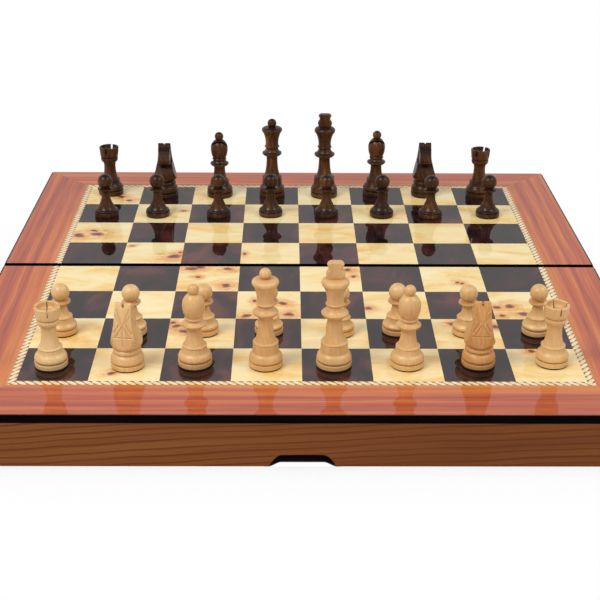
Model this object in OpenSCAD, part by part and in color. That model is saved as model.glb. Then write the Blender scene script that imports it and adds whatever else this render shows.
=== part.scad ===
// Folding chess box: two trays hinged along one edge, shown open as a board, with its 32 men.
// Frame: +X to the right, +Y away from the light side, +Z up, origin on the table under the fold.
// Both halves are drawn lying flat with the hinge axis along X, then laid down by the roof angle
// that the hinge barrels under the fold give the open box.

/* [Board] */
// Side of one square
square = 48.5; // [40:0.5:55]
// Width of the patterned banding round the field
banding_w = 5.5; // [3:0.5:8]
// Width of the border veneer
border_w = 39.5; // [25:0.5:50]
// Black lacquered edge left showing round the border
edge_w = 1; // [0.6:0.1:2]
// Black lacquered edge left showing along the fold
fold_edge_w = 1.3; // [0.5:0.1:2]
// Half of the gap between the two fold faces when the box lies dead flat
fold_gap = 0.2; // [0.1:0.05:0.5]
// Thickness of the playing panel
panel_t = 6; // [4:0.5:9]
// Thickness of squares, banding and border
veneer_t = 0.6; // [0.4:0.1:1]
// Chamfer along the panel's top edges
panel_chamfer = 0.4; // [0.2:0.1:0.5]

/* [Rails] */
// Height of the rails under the panel
rail_h = 32.9; // [24:0.1:45]
// Thickness of the rails
rail_t = 12; // [9:0.5:15]
// How far the rails stand back from the panel's edge
rail_setback = 0.3; // [0:0.1:1]
// Width of the finger notch at the rim
notch_w = 45; // [30:1:60]
// Width of the flat top of the finger notch
notch_top_w = 27; // [15:1:30]
// Height of the finger notch
notch_h = 8.8; // [6:0.2:12]
// Thickness of the felt under the panel
felt_t = 1.2; // [0.8:0.1:2]

/* [Hinges] */
// Radius of a hinge barrel
barrel_r = 3; // [2.5:0.1:3.5]
// Radius of a hinge pin
pin_r = 1.2; // [1:0.05:1.5]
// Radial clearance of the pin in its knuckles
pin_play = 0.05; // [0.02:0.01:0.1]
// Distance of the hinge axis outside the rim plane
axis_out = 0.15; // [0.1:0.05:0.3]
// Length of a hinge
hinge_l = 50; // [40:1:70]
// Distance of each hinge from the middle
hinge_x = 150; // [100:1:190]
// Width of a leaf, from the axis
leaf_w = 11; // [10:0.5:11.5]
// Thickness of a leaf
leaf_t = 1.5; // [1.2:0.1:2]
// Gap between neighbouring knuckles
knuckle_gap = 0.2; // [0.1:0.05:0.4]
// Clearance of the barrel in the rails
barrel_clear = 0.4; // [0.3:0.05:0.6]
// Radius of a screw head
screw_head_r = 2.4; // [2:0.1:2.6]
// Radius of a screw shank
screw_r = 1.2; // [1:0.1:1.4]
// Length of a hinge screw
screw_l = 11; // [8:1:16]

/* [Magnets] */
// Radius of a closing magnet
magnet_r = 4; // [3:0.5:5]
// Thickness of a closing magnet
magnet_t = 2.5; // [2:0.5:4]
// Distance of each magnet from the middle
magnet_x = 70; // [40:1:120]
// How deep the magnets sit below the rim
magnet_sink = 0.15; // [0.1:0.05:0.4]

/* [Men] */
// Radius of the king's foot
king_foot = 12.4; // [11:0.1:13]
// Radius of the queen's foot
queen_foot = 11.8; // [10.5:0.1:12.5]
// Radius of a bishop's foot
bishop_foot = 11.9; // [10.5:0.1:12.5]
// Radius of a knight's foot
knight_foot = 11.7; // [10.5:0.1:12]
// Radius of a rook's foot
rook_foot = 11.5; // [10.5:0.1:12]
// Radius of a pawn's foot
pawn_foot = 10.4; // [9.5:0.1:11]
// Width of the king's finial from front to back, where it is cut flat
finial_depth = 6.6; // [5:0.2:9]
// Width of a bishop's slot
slot_w = 1.7; // [0.8:0.1:1.8]
// Width of the crenels of a light rook
light_crenel_w = 0.9; // [0.8:0.1:2.4]
// Width of the crenels of a dark rook
dark_crenel_w = 2.2; // [0.8:0.1:2.4]

/* [Hidden] */
$fn = 64;
eps = 0.01;
field_half = 4 * square;
half_w = field_half + banding_w + border_w + edge_w;
first_y = fold_gap + fold_edge_w;
field_y = first_y + field_half;
half_d = field_y + banding_w + border_w + edge_w;
half_h = rail_h + panel_t;
veneer_z = half_h - veneer_t;
rail_in_x = half_w - rail_setback - rail_t;
rail_in_y = half_d - rail_setback - rail_t;
fold_in_y = fold_gap + rail_t;
// The open box rests on its barrels and its two outer rims, so each half leans by this angle.
lay = asin(barrel_r / sqrt(half_d * half_d + axis_out * axis_out)) + atan(axis_out / half_d);
pitch = (hinge_l + knuckle_gap) / 5;
knuckle_l = pitch - knuckle_gap;
FILES = ["a", "b", "c", "d", "e", "f", "g", "h"];

// Where each man stands, from file a to h: how far it is off the middle of its square to the right
// and away from the fold, and how far it is turned.
LIGHT_BACK = [[-3.9, 1, -18], [0.6, 2, -9], [-1.5, -1.2, 0], [-0.9, 0.6, 0],
    [-2, 0.1, 0], [0.4, -0.2, 0], [1.6, -1.4, 0], [4.8, -3.4, -18]];
LIGHT_FRONT = [[-3.6, -1.6, 0], [-1.4, -0.4, 0], [2.2, -1.9, 0], [0.7, -2, 0],
    [4, -0.9, 0], [-3.2, -3.4, 0], [-0.7, -1.3, 0], [1.8, -2.4, 0]];
DARK_BACK = [[-4.8, 6.4, -41], [-1.9, 0.6, 0], [0.1, 1.9, 0], [0.1, 2.4, 0],
    [0, 2.3, 0], [-0.2, 8, 0], [-3.9, 5, 0], [-1.5, 2.8, 29]];
DARK_FRONT = [[-1.5, -4.9, 0], [-4.4, -4.2, 0], [1.4, -4.8, 0], [-0.6, -2.4, 0],
    [0.7, -4.2, 0], [1.6, -3.9, 0], [-3.3, -5.4, 0], [-0.2, -3.4, 0]];

light_wood = "#e3bd83";
dark_wood = "#3a2013";
walnut = "#7b4827";
lacquer = "#15100f";
burl = "#ecd9a4";
tortoise = "#3d1513";
veneer = "#b8663f";
band_pale = "#e6d3ad";
brass = "#c8a24e";
steel = "#b9b9bd";
felt = "#23402d";

// ---- outlines ----

// Points on an arc, from angle a0 to a1, in n steps.
function arc(cx, cz, r, a0, a1, n = 8) =
    [for (i = [0:n]) let (a = a0 + (a1 - a0) * i / n) [cx + r * cos(a), cz + r * sin(a)]];

// Points on a curve that leaves p0 towards c and reaches p1 from c.
function curve(p0, c, p1, n = 8) =
    [for (i = [0:n]) let (t = i / n) (1 - t) * (1 - t) * p0 + 2 * t * (1 - t) * c + t * t * p1];

// Foot disc, groove, bell with its shoulder, collar and ring, which every turned man but the knight shares.
function foot(r, shoulder_r, shoulder_z, ring_r, ring_z) = concat(
    [[0, 0]],
    arc(r - 0.6, 0.6, 0.6, -90, 0, 3),
    arc(r - 0.6, 3.9, 0.6, 0, 90, 4),
    [[r - 1.1, 4.6], [r - 1.1, 5.0]],
    curve([r - 0.6, 5.1], [r + 0.1, 5.9], [r - 0.2, 7.0], 4),
    curve([r - 0.3, 7.3], [r - 0.9, shoulder_z - 0.9], [shoulder_r, shoulder_z], 6),
    curve([shoulder_r - 0.3, shoulder_z + 0.5], [ring_r + 0.2, ring_z - 3], [ring_r - 0.1, ring_z - 0.8], 5),
    arc(ring_r - 0.5, ring_z, 0.6, -60, 80, 5));

// Half-round bead of radius b whose crest is at radius r.
function bead(r, z, b, n = 6) = arc(r - b, z, b, -80, 80, n);

function king_outline() = concat(
    foot(king_foot, 10.0, 11.0, 9.3, 18.5),
    curve([7.6, 19.5], [5.4, 23.0], [5.1, 35.2], 10),
    [[5.2, 36.8]],
    curve([5.6, 37.6], [8.6, 38.2], [9.3, 39.9], 5),
    arc(8.9, 40.6, 0.5, -30, 70, 4),
    curve([8.8, 41.2], [6.8, 42.0], [5.8, 44.6], 5),
    [[5.5, 45.3], [5.6, 46.0]],
    bead(6.5, 47.3, 0.8),
    [[5.8, 48.5]],
    curve([5.7, 49.3], [5.5, 54.5], [7.9, 59.6], 8),
    curve([8.3, 60.2], [9.5, 61.4], [9.5, 62.8], 4),
    curve([9.4, 63.6], [8.9, 65.3], [5.9, 66.3], 5),
    [[0, 66.3]]);

function finial_outline() = concat(
    [[0, 66.0], [5.7, 66.0], [5.6, 66.7]],
    curve([5.7, 67.2], [7.4, 69.4], [5.7, 71.9], 6),
    curve([5.2, 72.4], [4.6, 73.8], [5.2, 75.0], 5),
    curve([5.4, 75.3], [6.3, 76.4], [5.4, 77.5], 5),
    [[4.6, 78.0], [0, 78.4]]);

function queen_outline() = concat(
    foot(queen_foot, 9.4, 10.8, 8.8, 18.5),
    curve([7.5, 19.5], [5.2, 25.0], [5.0, 35.2], 10),
    [[5.1, 37.9]],
    curve([5.5, 38.6], [8.1, 39.2], [8.8, 40.8], 5),
    arc(8.4, 41.5, 0.5, -30, 70, 4),
    curve([8.3, 42.1], [6.5, 42.9], [5.8, 45.2], 5),
    [[5.5, 45.8], [5.7, 46.4]],
    bead(6.8, 47.6, 0.8),
    [[6.0, 48.7]],
    curve([5.9, 49.4], [5.6, 55.5], [8.0, 60.5], 8),
    curve([8.4, 61.2], [9.4, 62.2], [9.3, 63.4], 4),
    curve([9.2, 64.1], [8.4, 65.6], [4.8, 66.1], 5),
    [[3.0, 66.3]],
    arc(0, 69.3, 4.1, -44, 90, 12));

function bishop_outline() = concat(
    foot(bishop_foot, 9.6, 10.2, 8.4, 15.0),
    curve([7.2, 16.0], [5.1, 20.0], [5.0, 27.4], 10),
    [[5.2, 28.4]],
    curve([5.6, 29.0], [7.8, 29.5], [8.4, 30.9], 5),
    arc(8.0, 31.5, 0.5, -30, 70, 4),
    curve([7.9, 32.1], [6.5, 32.5], [5.8, 34.2], 4),
    [[5.6, 34.6], [5.7, 34.9]],
    bead(6.5, 35.7, 0.7, 4),
    [[5.8, 36.6]],
    curve([5.9, 37.2], [7.1, 39.0], [7.7, 43.2], 6),
    curve([7.8, 45.4], [7.8, 50.4], [3.8, 53.5], 9),
    [[2.9, 53.9]],
    arc(0, 56.8, 4.0, -43, 90, 10));

function rook_outline() = concat(
    foot(rook_foot, 9.6, 10.0, 8.4, 14.4),
    curve([7.3, 15.4], [5.3, 19.6], [5.2, 27.6], 10),
    curve([5.3, 28.5], [5.4, 30.6], [6.2, 31.3], 4),
    curve([6.8, 31.7], [7.9, 32.9], [7.8, 34.9], 5),
    [[7.6, 35.6], [7.1, 35.9], [7.1, 36.3], [7.8, 36.6]],
    curve([8.1, 37.2], [8.5, 41.5], [8.8, 44.6], 6),
    arc(8.3, 44.8, 0.5, 0, 90, 3),
    arc(7.4, 44.9, 0.4, 90, 180, 3),
    curve([6.9, 44.0], [6.6, 41.2], [4.2, 40.6], 5),
    [[0, 40.4]]);

// Dished flange and ball of a pawn.
function pawn_head() = concat(
    [[4.1, 23.1]],
    curve([5.6, 23.5], [6.9, 24.1], [6.9, 25.1], 4),
    curve([6.7, 25.7], [5.4, 25.8], [4.2, 26.3], 3),
    arc(0, 31.9, 6.5, -52, 90, 14));

function light_pawn_outline() = concat(
    foot(pawn_foot, 8.6, 8.8, 7.5, 13.2),
    curve([6.2, 14.2], [4.0, 17.0], [3.7, 22.6], 10),
    pawn_head());

// The dark pawns have a slimmer foot with no shoulder.
function dark_pawn_outline() = let (r = pawn_foot + 0.2) concat(
    [[0, 0]],
    arc(r - 0.6, 0.6, 0.6, -90, 0, 3),
    arc(r - 0.6, 3.9, 0.6, 0, 90, 4),
    [[r - 1.1, 4.6], [r - 1.1, 5.0]],
    curve([r - 0.6, 5.1], [r - 0.1, 5.7], [9.2, 6.3], 4),
    curve([8.4, 6.9], [7.0, 8.6], [6.3, 10.4], 5),
    curve([5.8, 11.5], [4.1, 14.4], [3.8, 17.6], 6),
    [[3.6, 20.0], [3.6, 22.4]],
    pawn_head());

function knight_base_outline() = concat(
    [[0, 0]],
    arc(knight_foot - 0.6, 0.6, 0.6, -90, 0, 3),
    arc(knight_foot - 0.6, 3.7, 0.6, 0, 90, 4),
    [[knight_foot - 1.1, 4.4], [knight_foot - 1.1, 4.8]],
    curve([knight_foot - 0.5, 4.9], [knight_foot + 0.2, 6.0], [knight_foot - 0.2, 7.2], 4),
    curve([knight_foot - 0.3, 7.6], [knight_foot - 0.8, 9.9], [9.4, 10.9], 5),
    [[9.1, 11.3], [9.1, 11.7]],
    curve([9.4, 12.0], [10.3, 13.2], [9.4, 14.4], 5),
    [[8.9, 14.8], [8.7, 15.4], [0, 15.4]]);

// Horse's head and chest from the side, muzzle towards +Y.
function horse_side() = concat(
    [[9.4, 15.3], [9.7, 17.8]],
    curve([9.4, 19.6], [7.6, 25.6], [4.2, 29.4], 6),
    curve([3.2, 30.8], [3.0, 32.2], [4.2, 32.8], 4),
    curve([5.4, 33.2], [6.4, 32.4], [7.6, 32.2], 3),
    [[8.8, 32.6], [9.5, 33.8], [9.6, 35.4]],
    curve([9.4, 37.0], [7.6, 40.4], [5.6, 42.6], 6),
    curve([4.6, 43.8], [3.0, 45.2], [0.6, 45.9], 5),
    [[-0.6, 46.4], [-1.8, 49.2], [-2.8, 49.7], [-4.2, 49.4]],
    curve([-5.4, 46.8], [-8.8, 37.8], [-9.7, 17.8], 10),
    [[-9.6, 15.3]]);

// Half of the horse from the front: narrow ears and head, wide shoulders.
function horse_front_half() = concat(
    [[0, 15.3], [10.9, 15.3], [10.9, 17.8]],
    curve([10.6, 19.0], [8.0, 26.0], [6.7, 33.5], 6),
    curve([6.3, 37.0], [5.8, 42.0], [5.6, 49.9], 4),
    [[0, 49.9]]);

// ---- placing ----

// From the flat drawing of a half that runs towards +Y to that half as it lies on the table.
module far_side() {
    translate([0, 0, barrel_r]) rotate([-lay, 0, 0]) translate([0, 0, axis_out]) children();
}

// The same for the half that runs towards -Y: the drawing is turned half round first.
module near_side() {
    rotate([0, 0, 180]) far_side() children();
}

// Centre of a square on its half: file 0 to 7 from the left, rank 0 to 3 from the fold.
module on_square(file, rank) {
    translate([(file - 3.5) * square, first_y + (rank + 0.5) * square, half_h]) children();
}

// ---- one half of the box ----

// Plate of constant thickness over a rectangle that is symmetric across the middle.
module slab(half_x, y0, y1, z0, z1) {
    translate([-half_x, y0, z0]) cube([2 * half_x, y1 - y0, z1 - z0]);
}

module panel() {
    color(lacquer)
        difference() {
            slab(half_w, fold_gap, half_d, rail_h, half_h);
            slab(half_w - edge_w, first_y, half_d - edge_w, veneer_z, half_h + 1);
            translate([0, half_d, half_h]) chamfer_bar(2 * half_w);
            for (s = [-1, 1])
                translate([s * half_w, half_d / 2, half_h])
                    rotate([0, 0, -90 * s]) chamfer_bar(2 * half_d);
            translate([0, fold_gap, half_h]) rotate([0, 0, 180]) chamfer_bar(2 * half_w);
        }
}

// Bar along X whose lower inner face takes the corner at the origin off, towards -Y and -Z.
module chamfer_bar(l) {
    rotate([45, 0, 0])
        translate([-l / 2 - 1, -2, -panel_chamfer / sqrt(2)])
            cube([l + 2, 4, 2]);
}

module squares(dark) {
    color(dark ? tortoise : burl)
        for (file = [0:7], rank = [0:3])
            if ((file + rank) % 2 == (dark ? 0 : 1))
                translate([(file - 4) * square, first_y + rank * square, veneer_z])
                    cube([square, square, veneer_t]);
}

// Three mitred strips round the field, from x = inner to outer and the same beyond the last rank.
module strips(inner, outer, y_in, y_out) {
    translate([0, 0, veneer_z])
        for (s = [-1, 1])
            linear_extrude(veneer_t)
                polygon([[s * inner, first_y], [s * outer, first_y], [s * outer, y_out], [s * inner, y_in]]);
    translate([0, 0, veneer_z])
        linear_extrude(veneer_t)
            polygon([[-inner, y_in], [inner, y_in], [outer, y_out], [-outer, y_out]]);
}

module banding() {
    color(band_pale)
        strips(field_half, field_half + banding_w, field_y, field_y + banding_w);
}

module border() {
    color(veneer)
        strips(field_half + banding_w, half_w - edge_w, field_y + banding_w, half_d - edge_w);
}

// Outline of the finger notch: flat top, convex shoulders that run out at the rim.
function notch_outline() = let (s = (notch_w - notch_top_w) / 2) concat(
    [[-notch_w / 2, -1]],
    curve([-notch_w / 2, 0], [-notch_w / 2 + 0.55 * s, notch_h], [-notch_top_w / 2, notch_h], 8),
    curve([notch_top_w / 2, notch_h], [notch_w / 2 - 0.55 * s, notch_h], [notch_w / 2, 0], 8),
    [[notch_w / 2, -1]]);

module outer_rail() {
    out_x = half_w - rail_setback;
    out_y = half_d - rail_setback;
    color(walnut)
        difference() {
            linear_extrude(rail_h)
                polygon([[-rail_in_x, rail_in_y], [rail_in_x, rail_in_y], [out_x, out_y], [-out_x, out_y]]);
            translate([0, out_y + 1, 0])
                rotate([90, 0, 0])
                    linear_extrude(rail_t + 2) polygon(notch_outline());
            for (s = [-1, 1])
                translate([s * magnet_x, magnet_y(), -1])
                    cylinder(r = magnet_r, h = magnet_t + magnet_sink + 1);
        }
}

function magnet_y() = half_d - rail_setback - rail_t / 2;

// Side rail, mitred at both ends, on the side s of the middle.
module side_rail(s) {
    out_x = half_w - rail_setback;
    color(walnut)
        linear_extrude(rail_h)
            polygon([[s * rail_in_x, fold_in_y], [s * out_x, fold_gap],
                [s * out_x, half_d - rail_setback], [s * rail_in_x, rail_in_y]]);
}

module fold_rail() {
    out_x = half_w - rail_setback;
    color(walnut)
        difference() {
            linear_extrude(rail_h)
                polygon([[-rail_in_x, fold_in_y], [rail_in_x, fold_in_y], [out_x, fold_gap], [-out_x, fold_gap]]);
            for (s = [-1, 1])
                translate([s * hinge_x, 0, 0]) {
                    translate([0, 0, -axis_out])
                        rotate([0, 90, 0])
                            cylinder(r = barrel_r + barrel_clear, h = hinge_l + 2 * barrel_clear, center = true);
                    translate([-hinge_l / 2, 0, -1])
                        cube([hinge_l, leaf_w, leaf_t + 1]);
                    at_screws()
                        cylinder(r = screw_r, h = screw_l);
                }
        }
}

module felt_lining() {
    color(felt)
        slab(rail_in_x, fold_in_y, rail_in_y, rail_h - felt_t, rail_h);
}

module magnets() {
    color(steel)
        for (s = [-1, 1])
            translate([s * magnet_x, magnet_y(), magnet_sink])
                cylinder(r = magnet_r, h = magnet_t);
}

// ---- hinges ----

module at_screws() {
    for (x = [-1, 0, 1])
        translate([x * (hinge_l / 2 - 7), (leaf_w + barrel_r + barrel_clear) / 2 + 0.1, 0]) children();
}

// One leaf with the knuckles at the given places, 0 to 4 along the barrel.
module leaf(places) {
    difference() {
        union() {
            translate([-hinge_l / 2, barrel_r + barrel_clear, 0])
                cube([hinge_l, leaf_w - barrel_r - barrel_clear, leaf_t]);
            for (k = places)
                translate([-hinge_l / 2 + k * pitch, 0, 0]) {
                    translate([0, 0, -axis_out])
                        rotate([0, 90, 0]) cylinder(r = barrel_r, h = knuckle_l);
                    translate([0, 0, 0])
                        cube([knuckle_l, barrel_r + barrel_clear + eps, leaf_t]);
                }
        }
        translate([0, 0, -axis_out])
            rotate([0, 90, 0])
                cylinder(r = pin_r + pin_play, h = hinge_l + 2, center = true);
        at_screws() {
            translate([0, 0, -eps])
                cylinder(r1 = screw_head_r + eps, r2 = screw_r, h = screw_head_r - screw_r + eps);
            cylinder(r = screw_r, h = leaf_t + 1);
        }
    }
}

module hinge_leaves(places) {
    color(brass)
        for (s = [-1, 1])
            translate([s * hinge_x, 0, 0]) leaf(places);
}

module pins() {
    color(brass)
        for (s = [-1, 1])
            translate([s * hinge_x, 0, -axis_out])
                rotate([0, 90, 0]) cylinder(r = pin_r, h = hinge_l, center = true);
}

// Countersunk screws, heads flush with the rim, with a slot across the head.
module hinge_screws() {
    color(brass)
        for (s = [-1, 1])
            translate([s * hinge_x, 0, 0])
                at_screws()
                    difference() {
                        rotate_extrude()
                            polygon([[0, 0.02], [screw_head_r - 0.02, 0.02],
                                [screw_r, screw_head_r - screw_r], [screw_r, screw_l - 2], [0, screw_l]]);
                        translate([-screw_head_r, -0.3, -0.5])
                            cube([2 * screw_head_r, 0.6, 1]);
                    }
}

// ---- men, each standing at the origin ----

module king() {
    rotate_extrude() polygon(king_outline());
    intersection() {
        rotate_extrude() polygon(finial_outline());
        translate([-10, -finial_depth / 2, 60]) cube([20, finial_depth, 30]);
    }
}

module queen() {
    rotate_extrude() polygon(queen_outline());
}

// The slot is sawn into the mitre from the upper front, down to its middle.
module bishop() {
    difference() {
        rotate_extrude() polygon(bishop_outline());
        translate([-10, -0.3, 46.8])
            rotate([46, 0, 0])
                translate([0, 0, -slot_w / 2]) cube([20, 14, slot_w]);
    }
}

module rook(crenel_w) {
    difference() {
        rotate_extrude() polygon(rook_outline());
        for (a = [0, 90])
            rotate([0, 0, a + 28])
                translate([-12, -crenel_w / 2, 39.8]) cube([24, crenel_w, 6]);
    }
}

module light_pawn() {
    rotate_extrude() polygon(light_pawn_outline());
}

module dark_pawn() {
    rotate_extrude() polygon(dark_pawn_outline());
}

// Carved horse: the side outline, narrowed from the front and rounded into its base.
module horse() {
    difference() {
        intersection() {
            rotate([90, 0, 90])
                linear_extrude(24, center = true) polygon(horse_side());
            rotate([90, 0, 0])
                linear_extrude(30, center = true)
                    union() {
                        polygon(horse_front_half());
                        mirror([1, 0]) polygon(horse_front_half());
                    }
            rotate_extrude()
                polygon([[0, 15.3], [8.8, 15.3], [10.9, 17.9], [12.4, 28], [14, 50], [0, 50]]);
        }
        // cheeks drawn in towards the muzzle
        for (s = [-1, 1])
            translate([s * 5.6, -0.5, 31.6])
                rotate([0, 0, s * 3])
                    translate([s > 0 ? 0 : -6, -2, 0]) cube([6, 16, 20]);
        // gap between the ears, deep behind and shallow over the brow
        translate([0, -9, 46.4])
            rotate([90, 0, 0])
                linear_extrude(12, center = true)
                    polygon([[-1.3, 4.6], [-0.5, 0], [0.5, 0], [1.3, 4.6]]);
        translate([0, -2, 48.6])
            rotate([90, 0, 0])
                linear_extrude(12, center = true)
                    polygon([[-0.9, 2.4], [-0.3, 0], [0.3, 0], [0.9, 2.4]]);
        // mouth
        translate([0, 9.8, 34.4])
            rotate([0, 90, 0])
                linear_extrude(20, center = true)
                    polygon([[-0.5, 1], [0.5, 1], [0.1, -3.6], [-0.1, -3.6]]);
        // eyes and nostrils
        for (s = [-1, 1]) {
            translate([s * 5.6, 2.6, 41.4])
                sphere(r = 1.1, $fn = 24);
            translate([s * 5.2, 8.2, 36.6])
                sphere(r = 0.7, $fn = 24);
        }
        mane_cuts();
    }
}

// Slanting locks cut into the back of the neck, falling to each side of a middle line.
module mane_cuts() {
    for (s = [-1, 1], k = [0:3])
        translate([s * 0.7, -9.3 + 0.4 * k, 24 + 6 * k])
            rotate([4, s * 38, 0])
                translate([s > 0 ? 0 : -9, -3, -0.35])
                    cube([9, 4.2 - 0.1 * k, 0.7]);
}

module knight() {
    rotate_extrude() polygon(knight_base_outline());
    horse();
}

module light_man(file, rank) {
    stand = rank == 3 ? LIGHT_BACK[file] : LIGHT_FRONT[file];
    color(light_wood)
        near_side() on_square(7 - file, rank)
            translate([-stand[0], stand[1], 0]) rotate([0, 0, 180 + stand[2]]) children();
}

module dark_man(file, rank) {
    stand = rank == 3 ? DARK_BACK[file] : DARK_FRONT[file];
    color(dark_wood)
        far_side() on_square(file, rank)
            translate([stand[0], stand[1], 0]) rotate([0, 0, 180 + stand[2]]) children();
}

// ---- nodes ----

near_side() panel();  // near_panel
near_side() squares(false);  // near_light_squares
near_side() squares(true);  // near_dark_squares
near_side() banding();  // near_banding
near_side() border();  // near_border
near_side() outer_rail();  // near_outer_rail
near_side() side_rail(1);  // near_left_rail
near_side() side_rail(-1);  // near_right_rail
near_side() fold_rail();  // near_fold_rail
near_side() felt_lining();  // near_felt
far_side() panel();  // far_panel
far_side() squares(false);  // far_light_squares
far_side() squares(true);  // far_dark_squares
far_side() banding();  // far_banding
far_side() border();  // far_border
far_side() outer_rail();  // far_outer_rail
far_side() side_rail(-1);  // far_left_rail
far_side() side_rail(1);  // far_right_rail
far_side() fold_rail();  // far_fold_rail
far_side() felt_lining();  // far_felt
near_side() hinge_leaves([0, 2, 4]);  // near_hinge_leaves
far_side() hinge_leaves([1, 3]);  // far_hinge_leaves
near_side() pins();  // hinge_pins
near_side() hinge_screws();  // near_hinge_screws
far_side() hinge_screws();  // far_hinge_screws
near_side() magnets();  // near_magnets
far_side() magnets();  // far_magnets
light_man(0, 3) rook(light_crenel_w);  // light_rook_a
light_man(1, 3) knight();  // light_knight_b
light_man(2, 3) bishop();  // light_bishop_c
light_man(3, 3) queen();  // light_queen_d
light_man(4, 3) king();  // light_king_e
light_man(5, 3) bishop();  // light_bishop_f
light_man(6, 3) knight();  // light_knight_g
light_man(7, 3) rook(light_crenel_w);  // light_rook_h
dark_man(0, 3) rook(dark_crenel_w);  // dark_rook_a
dark_man(1, 3) knight();  // dark_knight_b
dark_man(2, 3) bishop();  // dark_bishop_c
dark_man(3, 3) queen();  // dark_queen_d
dark_man(4, 3) king();  // dark_king_e
dark_man(5, 3) bishop();  // dark_bishop_f
dark_man(6, 3) knight();  // dark_knight_g
dark_man(7, 3) rook(dark_crenel_w);  // dark_rook_h
for (file = [0:7])
    light_man(file, 2) light_pawn();
for (file = [0:7])
    dark_man(file, 2) dark_pawn();
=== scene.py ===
from math import asin, atan, cos, hypot, pi, radians, sin

import bmesh
import bpy
from mathutils import Matrix, Vector


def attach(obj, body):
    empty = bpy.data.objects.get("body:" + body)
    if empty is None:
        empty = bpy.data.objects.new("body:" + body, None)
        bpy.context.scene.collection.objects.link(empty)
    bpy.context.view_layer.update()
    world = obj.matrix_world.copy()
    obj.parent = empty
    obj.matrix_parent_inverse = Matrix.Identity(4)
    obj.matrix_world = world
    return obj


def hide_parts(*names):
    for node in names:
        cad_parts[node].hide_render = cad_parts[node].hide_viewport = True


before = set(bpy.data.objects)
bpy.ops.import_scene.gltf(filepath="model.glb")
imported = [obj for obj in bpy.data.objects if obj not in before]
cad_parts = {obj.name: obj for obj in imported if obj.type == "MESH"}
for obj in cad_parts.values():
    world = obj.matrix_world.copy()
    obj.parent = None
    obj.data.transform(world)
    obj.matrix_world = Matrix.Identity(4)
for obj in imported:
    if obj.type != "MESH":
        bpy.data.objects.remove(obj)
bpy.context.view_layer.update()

MM = 0.001

# Sizes of the box in millimetres, as the construction gives them
SQUARE = 48.5
BANDING_W = 5.5
BORDER_W = 39.5
EDGE_W = 1.0
FIRST_Y = 1.5
RAIL_H = 32.9
PANEL_T = 6.0
RAIL_T = 12.0
RAIL_SETBACK = 0.3
FELT_T = 1.2
BARREL_R = 3.0
BARREL_CLEAR = 0.4
AXIS_OUT = 0.15
HINGE_L = 50.0
HINGE_X = 150.0
LEAF_W = 11.0
SCREW_HEAD_R = 2.4
SCREW_R = 1.2
SCREW_L = 11.0

FIELD_HALF = 4 * SQUARE
FIELD_Y = FIRST_Y + FIELD_HALF
HALF_W = FIELD_HALF + BANDING_W + BORDER_W + EDGE_W
HALF_D = FIELD_Y + BANDING_W + BORDER_W + EDGE_W
HALF_H = RAIL_H + PANEL_T
LEAN = asin(BARREL_R / hypot(HALF_D, AXIS_OUT)) + atan(AXIS_OUT / HALF_D)
# How far the lean carries the top face out from the fold
TOP_SHIFT = (HALF_H + AXIS_OUT) * sin(LEAN)

HALVES = ("near", "far")


# ---- camera ----

LENS_MM = 79.235
SENSOR_MM = 36
CAMERA_AT = (-11.86, -989.84, 460.26)
CAMERA_PITCH = radians(24.3997)
CAMERA_YAW = radians(0.7140)
CAMERA_ROLL = radians(0.4297)


def set_camera():
    """Camera at the photograph's place, found from the corners of the board."""
    forward = Vector((
        sin(CAMERA_YAW) * cos(CAMERA_PITCH),
        cos(CAMERA_YAW) * cos(CAMERA_PITCH),
        -sin(CAMERA_PITCH),
    ))
    level = Vector((cos(CAMERA_YAW), -sin(CAMERA_YAW), 0))
    upright = level.cross(forward)
    right = cos(CAMERA_ROLL) * level + sin(CAMERA_ROLL) * upright
    up = cos(CAMERA_ROLL) * upright - sin(CAMERA_ROLL) * level
    turned = Matrix((right, up, -forward)).transposed().to_4x4()
    data = bpy.data.cameras.new("camera")
    data.lens = LENS_MM
    data.sensor_width = SENSOR_MM
    camera = bpy.data.objects.new("camera", data)
    camera.matrix_world = Matrix.Translation(Vector(CAMERA_AT) * MM) @ turned
    bpy.context.scene.collection.objects.link(camera)
    bpy.context.scene.camera = camera


# ---- building node trees ----

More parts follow.
